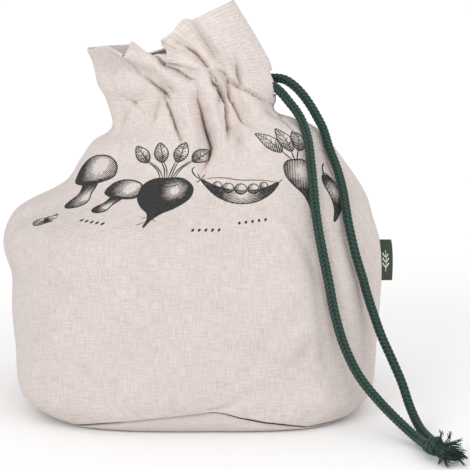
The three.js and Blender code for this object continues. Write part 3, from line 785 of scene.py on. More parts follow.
def tape(name, base, rib):
    material, tree = new_material(name)
    uv = cloth_uv(tree)
    ribs = [add(tree, "TexWave", {"bands_direction": way}, Vector=uv, Scale=scale,
                Distortion=0.6).outputs["Fac"] for way, scale in (("Y", 1500.0), ("X", 1100.0))]
    woven = calculated(tree, "MULTIPLY", *ribs)
    surfaced(tree, Base_Color=ramp(tree, woven, (0.0, rib), (0.8, base)), Roughness=0.7,
             Sheen_Weight=0.2, Specular_IOR_Level=0.35, Normal=bumped(tree, woven, 0.4, 0.0002))
    return material


olive_tape = tape("Olive woven polyester tape", "#4b594a", "#323f30")


def plain_thread(name, dark, light, roughness):
    material, tree = new_material(name)
    tone = ramp(tree, noise(tree, object_place(tree), 900.0, 2.0), (0.25, dark), (0.75, light))
    surfaced(tree, Base_Color=tone, Roughness=roughness, Specular_IOR_Level=0.2)
    return material


printed_ink = plain_thread("Charcoal textile ink", "#3f403f", "#242524", 0.85)
sewing_thread = plain_thread("Natural cotton sewing thread", "#d9cec4", "#e9e1da", 0.7)
woven_white = plain_thread("Off-white woven thread", "#cfd2c6", "#e9eae1", 0.7)
print("materials:", len(bpy.data.materials))

# %% [markdown]
# ## Floor and light
# The photograph is taken on white: soft light from all sides, and a large soft key from the upper
# left, which shades the right side of each fold. Lamps that are far away light the whole floor
# alike, so the background stays near one white.

# %% Floor, world and lamps
floor_shape = bmesh.new()
bmesh.ops.create_grid(floor_shape, x_segments=1, y_segments=1, size=6)
floor_data = bpy.data.meshes.new("Studio floor")
floor_shape.to_mesh(floor_data)
floor_shape.free()
floor = bpy.data.objects.new("Studio floor", floor_data)
floor.location.z = -0.2 * MM
bpy.context.scene.collection.objects.link(floor)
paper, paper_tree = new_material("White paper sweep")
surfaced(paper_tree, Base_Color=linear("#fbfbfb"), Roughness=0.9)
floor_data.materials.append(paper)

world = bpy.data.worlds.new("Light tent")
world.use_nodes = True
sky = world.node_tree.nodes["Background"].inputs
sky["Color"].default_value, sky["Strength"].default_value = (1, 1, 1, 1), 0.9
bpy.context.scene.world = world


def far_lamp(name, towards, power, spread):
    light = bpy.data.lights.new(name, "SUN")
    light.energy, light.angle = power, math.radians(spread)
    lamp = bpy.data.objects.new(name, light)
    lamp.rotation_euler = Vector(towards).to_track_quat("-Z", "Y").to_euler()
    bpy.context.scene.collection.objects.link(lamp)


far_lamp("Upper left key", (0.6, 0.8, -0.42), 0.85, 34)
far_lamp("Front right fill", (-0.75, 0.8, -0.25), 0.85, 60)
bpy.context.scene.view_settings.view_transform = "Standard"
print("lamps:", [item.name for item in bpy.data.lights])

# %% [markdown]
# ## The braided cord
# Two strands leave the channel at the right side seam, run over the shoulder and down the front,
# and lie on the floor up to the knot. A braided cord is a tube whose surface is plaited: columns
# of slanting stitches that meet in chevrons. The tube follows a smooth route and its radius
# rises over each stitch.

# %% Routes of the two strands
UPPER_ROUTE_MM = [
    (51.7, 14.4, 244.7), (57, 10.2, 246.2), (63, 7.2, 247.2), (70, 4.8, 246.2),
    (77.3, 2.6, 241.6), (84.2, 0, 234.5), (90, -4, 226.5), (94.5, -8, 219), (98.5, -13, 211.5),
    (103, -26, 198), (108.3, -37.3, 184.8), (112.2, -52.3, 170.3), (115, -67, 152),
    (120, -76, 130), (126, -76.5, 110), (130, -75.5, 96), (135, -73.5, 81), (140.5, -75, 66),
    (147.4, -79, 51), (155, -86, 34), (161, -96, 17), (166.5, -110, 7), (171.5, -127, 4.2),
    (175, -141, 4.6), (177, -151, 6),
]
LOWER_ROUTE_MM = [
    (51.7, -14.4, 245.8), (57, -10.3, 244.9), (62.6, -7.9, 242), (68, -7.6, 237),
    (73, -8.8, 231), (77.8, -12.4, 225.4), (82.5, -20, 218), (86.5, -34.8, 205.8),
    (88.3, -49.5, 190.5), (89.7, -64.4, 174.8), (91.6, -79.4, 155.2), (96, -89.5, 131),
    (100, -93.5, 112), (104.5, -96, 89), (112, -97, 64), (123, -100, 42), (138.5, -108, 24),
    (154, -121, 11), (164, -136, 5.5), (168.5, -151, 6),
]


def smooth_route(points, spacing, closed=False):
    """Points at even spacing on a centripetal Catmull-Rom curve through the given ones."""
    route = [Vector(point) for point in points]
    if closed:
        route = [route[-1]] + route + route[:2]
    else:
        route = [2 * route[0] - route[1]] + route + [2 * route[-1] - route[-2]]
    fine = []
    for before, start, end, after in zip(route, route[1:], route[2:], route[3:]):
        knots = [0.0]
        for first, second in ((before, start), (start, end), (end, after)):
            knots.append(knots[-1] + max((second - first).length, 1e-9) ** 0.5)
        t0, t1, t2, t3 = knots
        for step in range(24):
            t = t1 + (t2 - t1) * step / 24
            a1 = before.lerp(start, (t - t0) / (t1 - t0))
            a2 = start.lerp(end, (t - t1) / (t2 - t1))
            a3 = end.lerp(after, (t - t2) / (t3 - t2))
            b1 = a1.lerp(a2, (t - t0) / (t2 - t0))
            b2 = a2.lerp(a3, (t - t1) / (t3 - t1))
            fine.append(b1.lerp(b2, (t - t1) / (t2 - t1)))
    fine.append(route[1].copy() if closed else route[-2].copy())
    fine = np.array(fine)
    lengths = distances(fine)
    wanted = np.linspace(0, lengths[-1], int(lengths[-1] / spacing) + 1)
    return np.stack([np.interp(wanted, lengths, fine[:, axis]) for axis in range(3)], axis=1)


CORD_STEP = 0.6 * MM   # how far the points of a cord's line lie apart
upper_line, lower_line = (
    smooth_route([[value * MM for value in point] for point in route], CORD_STEP)
    for route in (UPPER_ROUTE_MM, LOWER_ROUTE_MM))
print("strand lengths:", round(distances(upper_line)[-1], 4), round(distances(lower_line)[-1], 4))

# %% A braided tube along a line
BRAID_COLUMNS = 6        # columns of stitches round the cord
STITCH_MM = 3.3          # one stitch of the plait along the cord
BRAID_RELIEF = 0.75 * MM


def frames_along(line):
    """Two unit vectors across the line at each point, turned as little as possible."""
    ahead = np.gradient(line, axis=0)
    ahead /= np.linalg.norm(ahead, axis=1, keepdims=True)
    side = np.cross(ahead[0], [0, 0, 1.0])
    if np.linalg.norm(side) < 0.1:
        side = np.cross(ahead[0], [0, 1.0, 0])
    sides = []
    for direction_here in ahead:
        side = side - direction_here * side.dot(direction_here)
        side = side / np.linalg.norm(side)
        sides.append(side)
    sides = np.array(sides)
    return sides, np.cross(ahead, sides)


def braid_height(turn, along):
    """From 0 in the grooves to 1 on a stitch. Turn goes from 0 to 1 round the cord."""
    column = turn * BRAID_COLUMNS
    inside = column - np.floor(column)
    slant = np.where(np.floor(column) % 2 == 0, inside, 1 - inside)
    wave = along / (STITCH_MM * MM) - 0.95 * slant
    stitches = np.abs(np.cos(np.pi * wave)) ** 0.8
    edges = 0.25 + 0.75 * np.abs(np.sin(np.pi * inside)) ** 0.5
    return stitches * edges


def braided_tube(line, radius, around=32):
    sides, overs = frames_along(line)
    distance = distances(line)
    steps = len(line) - 1

    def place(across, up):
        index = np.rint(up * steps).astype(int)
        here = radius + BRAID_RELIEF * (braid_height(across, distance[index]) - 0.75)
        angle = 2 * np.pi * across
        return (line[index] + sides[index] * (np.cos(angle) * here)[:, None]
                + overs[index] * (np.sin(angle) * here)[:, None])

    # The share of painted shade: 1 in the grooves, 0 on top of a stitch.
    def groove_shade(across, up):
        index = np.rint(up * steps).astype(int)
        return 1 - braid_height(across, distance[index])

    tube = wrapped_grid(around, steps, place, (radius * 6.28, distance[-1]), close=True,
                        extra=groove_shade)
    rims = [edge for edge in tube.edges if edge.is_boundary]
    bmesh.ops.holes_fill(tube, edges=rims, sides=0)
    bmesh.ops.recalc_face_normals(tube, faces=tube.faces)
    return tube


cord_upper = as_object("cord_strand_upper_braid", braided_tube(upper_line, CORD_DIAMETER / 2),
                       green_cotton)
cord_lower = as_object("cord_strand_lower_braid", braided_tube(lower_line, CORD_DIAMETER / 2),
                       green_cotton)
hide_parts("cord_strand_upper")
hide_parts("cord_strand_lower")

# %% [markdown]
# ## The knot
# The two strands are tied together. Pulled tight, a knot shows a thick cord that wraps round the
# others and tucks under itself. So a braided tube is wound nearly twice round a core that carries
# the strands through to the frayed end.

# %% Knot
KNOT_PLACE = np.array([173, -161.5, 8.9]) * MM
KNOT_TURN, WRAP_TURN = math.radians(-60), math.radians(-40)
WRAP_WINDINGS, WRAP_RADIUS, CORE_RADIUS = 1.8, 3.1 * MM, 3.2 * MM
CORE_MM = [(-9.5, -1.2, -3.6), (-5, -0.6, -2.2), (0, 0, 0), (3, 0, -0.4), (6, 0, -0.8)]


def in_knot(points, turn=KNOT_TURN):
    """From the knot's own axes, x towards the frayed end, to the row's frame."""
    c, s = math.cos(turn), math.sin(turn)
    points = np.asarray(points, float)
    return np.stack([points[..., 0] * c - points[..., 1] * s,
                     points[..., 0] * s + points[..., 1] * c, points[..., 2]], axis=-1) + KNOT_PLACE


def merged(first, second):
    """The first bmesh with the second one's faces, their cloth places and their marks of painted
    shade.

    They are copied by hand, since from_mesh drops the marks of painted shade.
    """
    place, other_place = (made.loops.layers.uv["cloth"] for made in (first, second))
    shade, other_shade = (made.verts.layers.float["fold"] for made in (first, second))
    copies = {}
    for vertex in second.verts:
        copies[vertex] = first.verts.new(vertex.co)
        copies[vertex][shade] = vertex[other_shade]
    for face in second.faces:
        added = first.faces.new([copies[vertex] for vertex in face.verts])
        added.smooth = face.smooth
        for loop, other in zip(added.loops, face.loops):
            loop[place].uv = other[other_place].uv
    second.free()
    return first


winding = np.linspace(0, 1, 240)
turned = 2 * np.pi * (WRAP_WINDINGS * winding + 0.1)
reach = 0.8 + 3.3 * eased(winding / 0.14) * eased((1 - winding) / 0.14)   # both ends tuck in
wound = np.stack([-3.2 + 6 * winding + 1.4 * np.sin(turned), reach * np.cos(turned),
                  reach * np.sin(turned)], axis=1) * MM
core = smooth_route(in_knot(np.array(CORE_MM) * MM), CORD_STEP)
knot_shape = merged(braided_tube(in_knot(wound, WRAP_TURN), WRAP_RADIUS),
                    braided_tube(core, CORE_RADIUS))
knot = as_object("cord_knot_braid", knot_shape, green_cotton)
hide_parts("cord_knot")

# %% [markdown]
# ## The frayed end
# Beyond the knot the braid has come undone into its yarns, which spread like a small broom and
# lie partly on the floor. Each yarn is a thin tapering tube along its own bent line.

# %% Loose yarns
YARN_SIDES, YARN_POINTS = 5, 12
DENSE_YARNS, BUNDLE_YARNS = 190, 7
ON_FLOOR = 0.7 * MM   # how high the middle of a yarn lies that rests on the floor


def yarn(made, line, radius):
    sides, overs = frames_along(line)
    steps = len(line) - 1
    grid = bmesh.ops.create_grid(made, x_segments=YARN_SIDES, y_segments=steps,
                                 size=0.5)["verts"]
    for vertex in grid:
        index = int(round((vertex.co.y + 0.5) * steps))
        angle = 2 * math.pi * (vertex.co.x + 0.5)
        here = radius * (1 - 0.55 * index / steps)
        vertex.co = Vector(line[index] + sides[index] * math.cos(angle) * here
                           + overs[index] * math.sin(angle) * here)
    bmesh.ops.remove_doubles(made, verts=grid, dist=1e-6)


def bent_yarn(start, heading, lift, length, bend, wave):
    """A line from start, in the knot's axes, that droops to the floor."""
    line = []
    point = np.array(start, float)
    step = length / (YARN_POINTS - 1)
    for index in range(YARN_POINTS):
        line.append(point.copy())
        share = index / (YARN_POINTS - 1)
        turn = heading + bend * share + wave * math.sin(share * 9 + heading * 7)
        tilt = lift * (1 - 1.6 * share)
        point = point + step * np.array([math.cos(turn) * math.cos(tilt),
                                         math.sin(turn) * math.cos(tilt), math.sin(tilt)])
    line = in_knot(np.array(line) * MM)
    line[:, 2] = np.maximum(line[:, 2], ON_FLOOR)
    return line


LOOSE_ENDS_MM = [   # where the loosest bundles end, seen from the knot
    (4.9, -3, 12.2), (10.2, -4, 11), (17, -5, 6.8), (18, -7, 2.7), (18, -9, -2.5),
    (21.5, -11, -6), (20, -20, -8), (2, -17, -8), (8.6, -22, -8),
]
frays = bmesh.new()
frays.loops.layers.uv.new("cloth")
for _ in range(DENSE_YARNS):   # the dense tuft, which droops to the floor
    share = chance.uniform(-1, 1)
    start = (4.5 + chance.uniform(-1, 1.5), 3.3 * share + chance.uniform(-0.5, 0.5),
             chance.uniform(-2.6, 3.2))
    line = bent_yarn(start, math.radians(18 * share + 4), chance.uniform(-0.62, 0.0),
                     chance.uniform(13, 23), chance.uniform(-0.3, 0.3), chance.uniform(0.1, 0.5))
    yarn(frays, line, chance.uniform(0.4, 0.62) * MM)
for end in LOOSE_ENDS_MM:
    kink, lean = chance.uniform(5, 9), chance.uniform(0, 6)
    for number in range(BUNDLE_YARNS):
        start = in_knot(np.array([chance.uniform(5, 10), chance.uniform(-2.5, 2.5),
                                  chance.uniform(0, 2.5)]) * MM)
        finish = KNOT_PLACE + np.array([part + chance.uniform(-1.3, 1.3) for part in end]) * MM
        share = np.linspace(0, 1, 14)[:, None]
        swing = np.array([math.cos(lean), 0.4, math.sin(lean)]) * MM
        line = (start + (finish - start) * share
                + swing * (1.1 * np.sin(kink * share + 0.3 * number) - 1.1 * math.sin(0.3 * number))
                * share ** 0.5)
        line[:, 2] = np.maximum(line[:, 2], ON_FLOOR)
        yarn(frays, line, chance.uniform(0.32, 0.5) * MM)
bmesh.ops.recalc_face_normals(frays, faces=frays.faces)
fray_piece = as_object("cord_frayed_yarns", frays, dark_yarn)
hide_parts("cord_frayed_end")

print("knot box:", [round(side, 4) for side in knot.dimensions])

# %% [markdown]
# ## The body
# The filled body is one tube of cloth from the bottom seam to the channel, with a seam up each
# side. As a grid wrapped round once it has no joint to hide, and the side seams are pressed in
# as shallow grooves.

# %% Body cloth
ROUND_COLUMNS, BODY_ROWS = 420, 100
SHOULDER = 140 * MM   # painted shade in the hollows fades in above this height, about the shoulder


def body_place(up):
    """The place at a share of the grid's rows, which lie closer at the seam and the neck."""
    return np.interp(up, [0, 0.12, 0.5, 1], [0, 1, 8, LAST_ROW])


def body_shape(across, up):
    return cloth_point(around_of(across), body_place(up))


def round_cloth(rows, shape_of, place_of, keep=None):
    """A grid wrapped once round the bag, whose rows lie where place_of(up) says."""
    return wrapped_grid(ROUND_COLUMNS, rows, shape_of, threads_on(place_of), close=True, keep=keep)


body_grid = round_cloth(BODY_ROWS, body_shape, body_place)
# Painted shade is marked in the body's hollows above the shoulder.
body = as_object("body_cloth", paint_shade_in_hollows(body_grid, 2.5 * MM, low=SHOULDER), natural_linen)
body_surface = BVHTree.FromPolygons([vertex.co for vertex in body.data.vertices],
                                    [face.vertices for face in body.data.polygons])
thicken(body, 1.2 * MM)
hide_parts("front_panel", "back_panel")

# %% [markdown]
# ## The printed vegetables
# A one-colour screen print lies on the threads as a thin dark film. Here it is drawn as an
# engraver would: an outline, then parallel lines that swell where the form is dark. Every line
# is a narrow ribbon of mesh that is laid on the cloth, so it bends with each fold. The motifs
# are common garden vegetables of this script's own drawing.

# %% A ribbon, and places on the cloth
def ribbon(made, line, widths, sideways):
    """A strip along a line of points. Sideways is the unit vector across it at each point."""
    steps = len(line) - 1
    for vertex in bmesh.ops.create_grid(made, x_segments=1, y_segments=steps, size=0.5)["verts"]:
        index = int(round((vertex.co.y + 0.5) * steps))
        edge = round(2 * vertex.co.x) / 2
        vertex.co = Vector(line[index] + sideways[index] * widths[index] * edge)


seek_around, seek_place = (values.ravel() for values in np.meshgrid(np.linspace(20, 165, 146),
                                                                    np.linspace(1, 12, 111)))
seek_seen = in_picture(cloth_point(seek_around, seek_place))


def cloth_at(x, y):
    """The place on the front cloth that falls on a point of the picture."""
    nearest = np.argmin(np.hypot(seek_seen[:, 0] - x, seek_seen[:, 1] - y))
    return seek_around[nearest], seek_place[nearest]


def laid_on_cloth(centre, flat_points):
    """From millimetres on a drawing to around and place on the cloth."""
    around, place = centre
    rise = np.interp(place, fine_place, cloth_rise) + flat_points[:, 1] * MM
    places = np.interp(rise, cloth_rise, fine_place)
    ahead = section_point(around + 1, places) - section_point(around - 1, places)
    one_degree = np.linalg.norm(ahead, axis=-1) / 2
    return around - flat_points[:, 0] * MM / one_degree, places


print("middle of the front:", cloth_at(180, 260))

# %% Drawing with lines
INK_LINE = 0.75      # the width of an outline in millimetres
HATCH = 1.15         # how far the shading lines lie apart
PALEST = 0.16        # below this darkness a shading line is left out
UNEVEN = 0.25        # the share by which a shading line's width varies
drawing = []


def smooth_line(points, closed=False, step=0.9):
    return smooth_route([(x, y, 0) for x, y in points], step, closed)[:, :2]


def stroke(points, width=INK_LINE, closed=False):
    line = smooth_line(points, closed)
    share = np.linspace(0, 1, len(line))
    drawing.append((line, width * (np.ones_like(share) if closed
                                   else 0.3 + 0.7 * np.sin(np.pi * share) ** 0.6)))


def shade_in(outline, tilt, darkness, spacing=HATCH):
    """Shading lines inside a closed outline. Darkness, from 0 to 1, gives their width."""
    edge = smooth_line(outline, closed=True)
    turn = np.array([[math.cos(tilt), math.sin(tilt)], [-math.sin(tilt), math.cos(tilt)]])
    turned = edge @ turn.T
    for level in np.arange(turned[:, 1].min() + spacing / 2, turned[:, 1].max(), spacing):
        low, high = turned[:-1], turned[1:]
        across = (low[:, 1] - level) * (high[:, 1] - level) < 0
        share = (level - low[across, 1]) / (high[across, 1] - low[across, 1])
        ends = np.sort(low[across, 0] + share * (high[across, 0] - low[across, 0]))
        for left, right in zip(ends[::2], ends[1::2]):
            along = np.linspace(left, right, max(int((right - left) / 0.9), 2) + 1)
            line = np.stack([along, np.full_like(along, level)], axis=1) @ turn
            dark = np.array([darkness(x, y) for x, y in line])
            dark = dark * (1 + UNEVEN * np.array([chance.uniform(-1, 1) for _ in along]))
            start = None
            for index, inked in enumerate(list(dark > PALEST) + [False]):
                if inked and start is None:
                    start = index
                if not inked and start is not None:
                    if index - start > 1:
                        widths = spacing * np.clip(dark[start:index], 0, 1.05)
                        drawing.append((line[start:index], widths))
                    start = None


def rounded(x, y, reach, power=1.6, most=1.0):
    """Darkness of a round form that is light at one place."""
    return lambda at_x, at_y: most * min(math.hypot(at_x - x, at_y - y) / reach, 1) ** power


def placed(x, y, size, turn):
    """A function that takes points of a drawing to their place in a larger one."""
    c, s = math.cos(turn) * size, math.sin(turn) * size
    return lambda *points: [(px * c - py * s + x, px * s + py * c + y) for px, py in points]


print("hatching every", HATCH, "mm")

# %% Five vegetables
LEAF = [(0, 0), (3.2, 2.6), (4.4, 6.5), (3.4, 10.5), (0, 15), (-3.4, 10.5), (-4.4, 6.5),
        (-3.2, 2.6)]


def leaf(x, y, turn, size=1.0):
    put = placed(x, y, size, turn)
    outline = put(*LEAF)
    stroke(outline, 0.6, closed=True)
    stroke(put((0, 0), (0.4, 7), (0, 14)), 0.55)
    for rise in (3.5, 6.5, 9.5):
        for side in (-1, 1):
            stroke(put((0, rise), (side * 2.6, rise + 2.4)), 0.4)
    shade_in(outline, turn + 0.5, rounded(*put((1.6, 9))[0], 7 * size, 1.4, 0.75), 1.1)


def mushroom(x, y, size, turn):
    put = placed(x, y, size, turn)
    cap = put((-16, 1), (-15, 9), (-8, 15), (1, 16.5), (10, 14), (15.5, 7), (15, 0.5), (8, -2),
              (0, -3), (-9, -2))
    stem = put((-5, -2), (-4.6, -9), (-6.6, -17), (-3, -20), (3, -20), (6.4, -17), (4.4, -9),
               (5, -2))
    shade_in(cap, turn + 0.9, rounded(*put((4, 9))[0], 17 * size, 1.5))
    shade_in(stem, turn + 1.4, rounded(*put((3, -12))[0], 9 * size, 1.3, 0.9))
    stroke(cap, closed=True)
    stroke(stem, closed=True)
    for spread in range(-6, 7):
        stroke(put((spread * 0.75, -2.6), (spread * 2.1, -0.2 + abs(spread) * 0.12)), 0.45)


def mushrooms():
    mushroom(-6, 2, 1.0, 0.12)
    mushroom(17, -9, 0.62, -0.25)


def beetroot():
    root = [(0, 9), (9, 8.5), (15.5, 2.5), (15.5, -5), (9.5, -12), (4, -16), (1.4, -21), (0.4, -27),
            (-0.8, -21), (-4, -16), (-10.5, -11), (-15.5, -4), (-14.5, 4), (-8, 8.5)]
    shade_in(root, 1.0, rounded(5.5, 0.5, 9.5, 1.3, 1.08), 1.0)
    stroke(root, 0.95, closed=True)
    for low in (5.5, 3.2):
        stroke([(-7, low + 2), (0, low), (7, low + 1.6)], 0.5)
    for top, bend in ((-13, -7), (-4, -2.5), (5, 2), (14, 6)):
        stroke([(bend * 0.5 - 0.8, 8.6), (bend, 15), (top - 1, 21)], 0.7)
        stroke([(bend * 0.5 + 0.8, 8.6), (bend + 1.4, 15), (top + 0.6, 21)], 0.6)
        leaf(top, 20, -0.05 * top, 0.95)
    for side, low in ((-1, -18), (1, -20), (-1, -23)):
        stroke([(side * 1.2, low), (side * 5, low - 2.4)], 0.4)


def pea_pod():
    hull = [(-27, 7), (-17, -5), (-3, -10.5), (12, -8.5), (23, -0.5), (28, 8), (18, 3), (6, 0),
            (-6, 0), (-17, 2.5)]
    shade_in(hull, 0.35, rounded(2, -2, 15, 1.3, 0.95))
    peas = [(-15.5, 3, 3.1), (-8, 1.6, 3.9), (0.8, 1.2, 4.3), (9.6, 2, 3.9), (17, 4.4, 3)]
    for x, y, radius in peas:
        ring = [(x + radius * math.cos(angle), y + radius * math.sin(angle))
                for angle in np.linspace(0, 2 * math.pi, 9)[:-1]]
        shade_in(ring, 0.9, rounded(x + 1.2, y + 1.4, radius * 1.5, 1.5, 0.95), 0.9)
        stroke(ring, 0.6, closed=True)
    stroke(hull, closed=True)
    stroke([(-27, 7), (-14, 9.5), (0, 8.5), (14, 9), (28, 8)], 0.6)
    stroke([(-27, 7), (-31, 9.5), (-33, 14), (-31, 17)], 0.9)
    for bend in ((-30, 4), (-29.5, 12), (-24, 11.5)):
        stroke([(-27, 7), bend], 0.7)
    stroke([(28, 8), (31, 10.5)], 0.6)


def radish():
    root = [(0, 6), (6, 5), (9.5, -1), (9, -8), (5.5, -14.5), (2.4, -20), (1, -27), (-0.6, -34),
            (-1.6, -26), (-3.4, -19), (-7, -13), (-9.8, -6), (-8.6, 2), (-5, 5.4)]
    shade_in(root, 1.2, rounded(3, -4, 13, 1.6, 0.95), 1.05)
    stroke(root, closed=True)
    for low, wide in ((-17, 3), (-22, 2), (-9, 6)):
        stroke([(-wide, low), (-wide * 0.2, low - 0.9)], 0.45)
    for top, turn in ((-6, 0.5), (0.5, 0.02), (6, -0.45)):
        stroke([(top * 0.2, 5), (top * 0.7, 10), (top, 13)], 0.8)
        leaf(top, 12, turn, 1.15)


def chilli():
    fruit = [(0, 12), (4, 9), (5.5, 2), (4.5, -6), (1, -14), (-4.5, -20), (-2.6, -12), (-2.6, -3),
             (-4, 5), (-3.4, 10)]
    shade_in(fruit, 1.3, rounded(2.4, 1, 9, 1.2, 1.0), 1.0)
    stroke(fruit, closed=True)
    stroke([(-3.6, 10.4), (-1.4, 13), (0.2, 18), (3.4, 21)], 1.1)
    stroke([(-4, 9.6), (0, 13.2), (4.4, 9.2)], 0.8)


def seeds(count=5, pitch=3.4):
    """A short row of seeds, each a small drop."""
    for number in range(count):
        x = pitch * (number - (count - 1) / 2)
        stroke([(x, -0.9), (x + 0.5, 0.9)], 1.5)


def sprig_of_two():
    leaf(0, -6, 0.5, 0.8)
    leaf(0, -6, -0.5, 0.7)


MOTIFS = [   # what is drawn, where it lies in the picture, how it is turned, and its scale
    (mushrooms, (98, 182), 0.1, 1.35), (seeds, (92, 221), -0.1, 1.4),
    (beetroot, (166, 192), 0.0, 1.25), (seeds, (205, 230), 0.0, 1.4),
    (pea_pod, (240, 190), -0.15, 1.05), (seeds, (252, 221), 0.1, 1.4),
    (radish, (297, 168), -0.08, 1.15), (chilli, (333, 192), -0.2, 1.25),
    (sprig_of_two, (46, 219), 1.1, 1.2),
]
print(len(MOTIFS), "motifs")

# %% The print, laid on the cloth
INK_LIFT = 0.16 * MM
ink = bmesh.new()
ink.loops.layers.uv.new("cloth")
for motif, pixel, turn, scale in MOTIFS:
    drawing.clear()
    motif()
    centre = cloth_at(*pixel)
    c, s = math.cos(turn), math.sin(turn)
    for line, widths in drawing:
        flat_line = scale * line @ np.array([[c, s], [-s, c]])
        around, place = laid_on_cloth(centre, flat_line)
        points, outs = [], []
        for point in cloth_point(around, place):
            on_face, normal, _, _ = body_surface.find_nearest(Vector(point))
            points.append(on_face + normal * INK_LIFT)
            outs.append(normal)
        points, outs = np.array(points), np.array(outs)
        sideways = np.cross(outs, np.gradient(points, axis=0))
        sideways /= np.maximum(np.linalg.norm(sideways, axis=1, keepdims=True), 1e-12)
        ribbon(ink, points, np.asarray(widths) * scale * MM, sideways)
    print(motif.__name__, "at", [round(float(value), 2) for value in centre])
ink.normal_update()
for face in ink.faces:
    on_face, normal, _, _ = body_surface.find_nearest(face.calc_center_median())
    if face.normal.dot(normal) < 0:
        face.normal_flip()
print_piece = as_object("vegetable_print", ink, printed_ink)

# %% [markdown]
# ## The base
# A flat piece of the same linen, rounded up at its edge and sewn to the body by a seam that lies
# a little above the floor.

# %% Base cloth
BASE_EDGE = [   # the share of the way out to the seam, and of the way up to it
    (0.0, 0.0), (0.7, 0.0), (0.92, 0.0), (0.945, 0.04), (0.965, 0.14), (0.98, 0.3),
    (0.99, 0.5), (0.993, 0.78), (0.984, 1.0),
]


def base_shape(across, up):
    edge = np.array(BASE_EDGE)
    spot = up * (len(edge) - 1)
    share = np.interp(spot, np.arange(len(edge)), edge[:, 0])
    rise = np.interp(spot, np.arange(len(edge)), edge[:, 1])
    around = around_of(across)
    seam = section_point(around, np.zeros_like(across))
    seam[:, 2] -= seam_drop(around)
    ripple = 0.5 * MM * np.sin(across * 60) * np.sin(across * 23 + 1) * (rise > 0) * share
    return np.stack([seam[:, 0] * share, seam[:, 1] * share,
                     0.2 * MM + (seam[:, 2] - SEAM_GAP) * rise + ripple * rise], axis=-1)


base = as_object("base_cloth", wrapped_grid(240, 40, base_shape, (0.84, 0.13), close=True),
                 natural_linen)
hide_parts("base_panel")

# %% [markdown]
# ## The drawstring channel
# Two lines of stitching make a sleeve for the cord. The cord drawn tight bunches the sleeve into
# pleats that run on into the body below and the frill above. It is a closed loop of cloth swept
# round the neck, left open at the right side seam where the cord comes out.

# %% Channel
CHANNEL_ROWS = 36
SLEEVE_HOLLOW = 10 * MM
SLIT_HALF = 15   # degrees


def channel_place(up):
    """Up the outer cloth and down the inner one."""
    return LAST_ROW + np.where(up < 0.5, up * 2, 2 - up * 2)


def channel_shape(across, up):
    place = channel_place(up)
    inner = SLEEVE_HOLLOW * np.sin(np.pi * (place - LAST_ROW))
    return cloth_point(around_of(across), place, np.where(up > 0.5, inner, 0.0))


def outside_slit(across, up):
    """All but the slit in the outer cloth, where the cord comes out."""
    beside = np.abs(apart(around_of(across), 0)) < SLIT_HALF
    return ~(beside & (up > 0.1) & (up < 0.42))


channel_grid = round_cloth(CHANNEL_ROWS, channel_shape, channel_place, outside_slit)
# Painted shade is marked in the channel's hollows.
channel = as_object("channel_cloth", paint_shade_in_hollows(channel_grid, 2.2 * MM, 14), natural_linen)
thicken(channel, 0.8 * MM)
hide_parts("drawstring_channel")

# %% [markdown]
# ## The frill
# Above the channel the doubled hem is free. It leaves the channel in tight pleats and opens out
# to a wavy edge: a flap leaning left, a fold tucked in the middle and a tall tip at the right.

# %% Frill
FRILL_ROWS = 100
HEM_HALF = 1.0 * MM              # half of the double cloth's thickness
FACE_SHARE, TURN_SHARE = 0.46, 0.08   # of the grid's rows, for each face and for the turned hem


def frill_place(up):
    """Up the outer face to the hem and down the inner one."""
    level = np.where(up < 0.5, np.clip(up / FACE_SHARE, 0, 1), np.clip((1 - up) / FACE_SHARE, 0, 1))
    return CHANNEL_TOP + level


def frill_shape(across, up):
    around, place = around_of(across), frill_place(up)
    turn = np.clip((up - FACE_SHARE) / TURN_SHARE, 0, 1)
    hem = frill_line(around, np.ones_like(around))
    above = hem - frill_line(around, np.full_like(around, 0.97))
    above /= np.linalg.norm(above, axis=1, keepdims=True)
    inset = HEM_HALF * (1 - np.cos(np.pi * turn))
    return cloth_point(around, place, inset) + above * (HEM_HALF * np.sin(np.pi * turn))[:, None]


frill_grid = round_cloth(FRILL_ROWS, frill_shape, frill_place)
# Painted shade is marked in the frill's hollows.
frill = as_object("frill_cloth", paint_shade_in_hollows(frill_grid, 2.2 * MM, 14), natural_linen)
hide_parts("header_frill")

# %% The cord inside the channel
LOOP_END = 30        # degrees from the right side seam where the strands take over
LOOP_INSET, END_INSET = 5 * MM, 2 * MM   # how deep its middle lies in the sleeve


def smoothed(values, reach):
    """The deepest nearby value, then a running mean, since a cord bends more widely than cloth."""
    shifts = range(-reach, reach + 1)
    deepest = np.max([np.roll(values, shift) for shift in shifts], axis=0)
    padded = np.concatenate([np.full(reach, values[0]), deepest, np.full(reach, values[-1])])
    return np.convolve(padded, np.ones(2 * reach + 1) / (2 * reach + 1), "valid")


loop_around = np.linspace(LOOP_END, 360 - LOOP_END, 420)
last_row = np.full_like(loop_around, LAST_ROW)
loop_line = channel_line(loop_around, np.full_like(loop_around, 0.5))
loop_out = outward(section_point, loop_around, last_row)
sunk = smoothed(front_depth(loop_line, loop_out)
                + gather_depth(loop_around, np.zeros_like(loop_around)), 8)
at_ends = np.clip(np.minimum(loop_around - LOOP_END, 360 - LOOP_END - loop_around) / 12, 0, 1)
inset = END_INSET + (LOOP_INSET - END_INSET + sunk) * at_ends
loop = as_object("drawcord_loop_braid",
                 braided_tube(loop_line - loop_out * inset[:, None], 3.2 * MM, around=20),
                 green_cotton)
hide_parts("drawcord_loop")

# %% [markdown]
# ## Stitches
# Two rows of lockstitch hold the sleeve. A stitch is a short thread that dips into the cloth at
# both ends, so each one is a small stretched sphere laid along the row. There are hundreds of
# them, so each has only a few faces.

# %% Rows of stitches
STITCH_LONG, STITCH_PITCH, THREAD_THICK = 2.3 * MM, 3.1 * MM, 0.42 * MM
ROW_INSIDE = 0.07   # how far inside the sleeve's edges the rows lie, as a share of its height


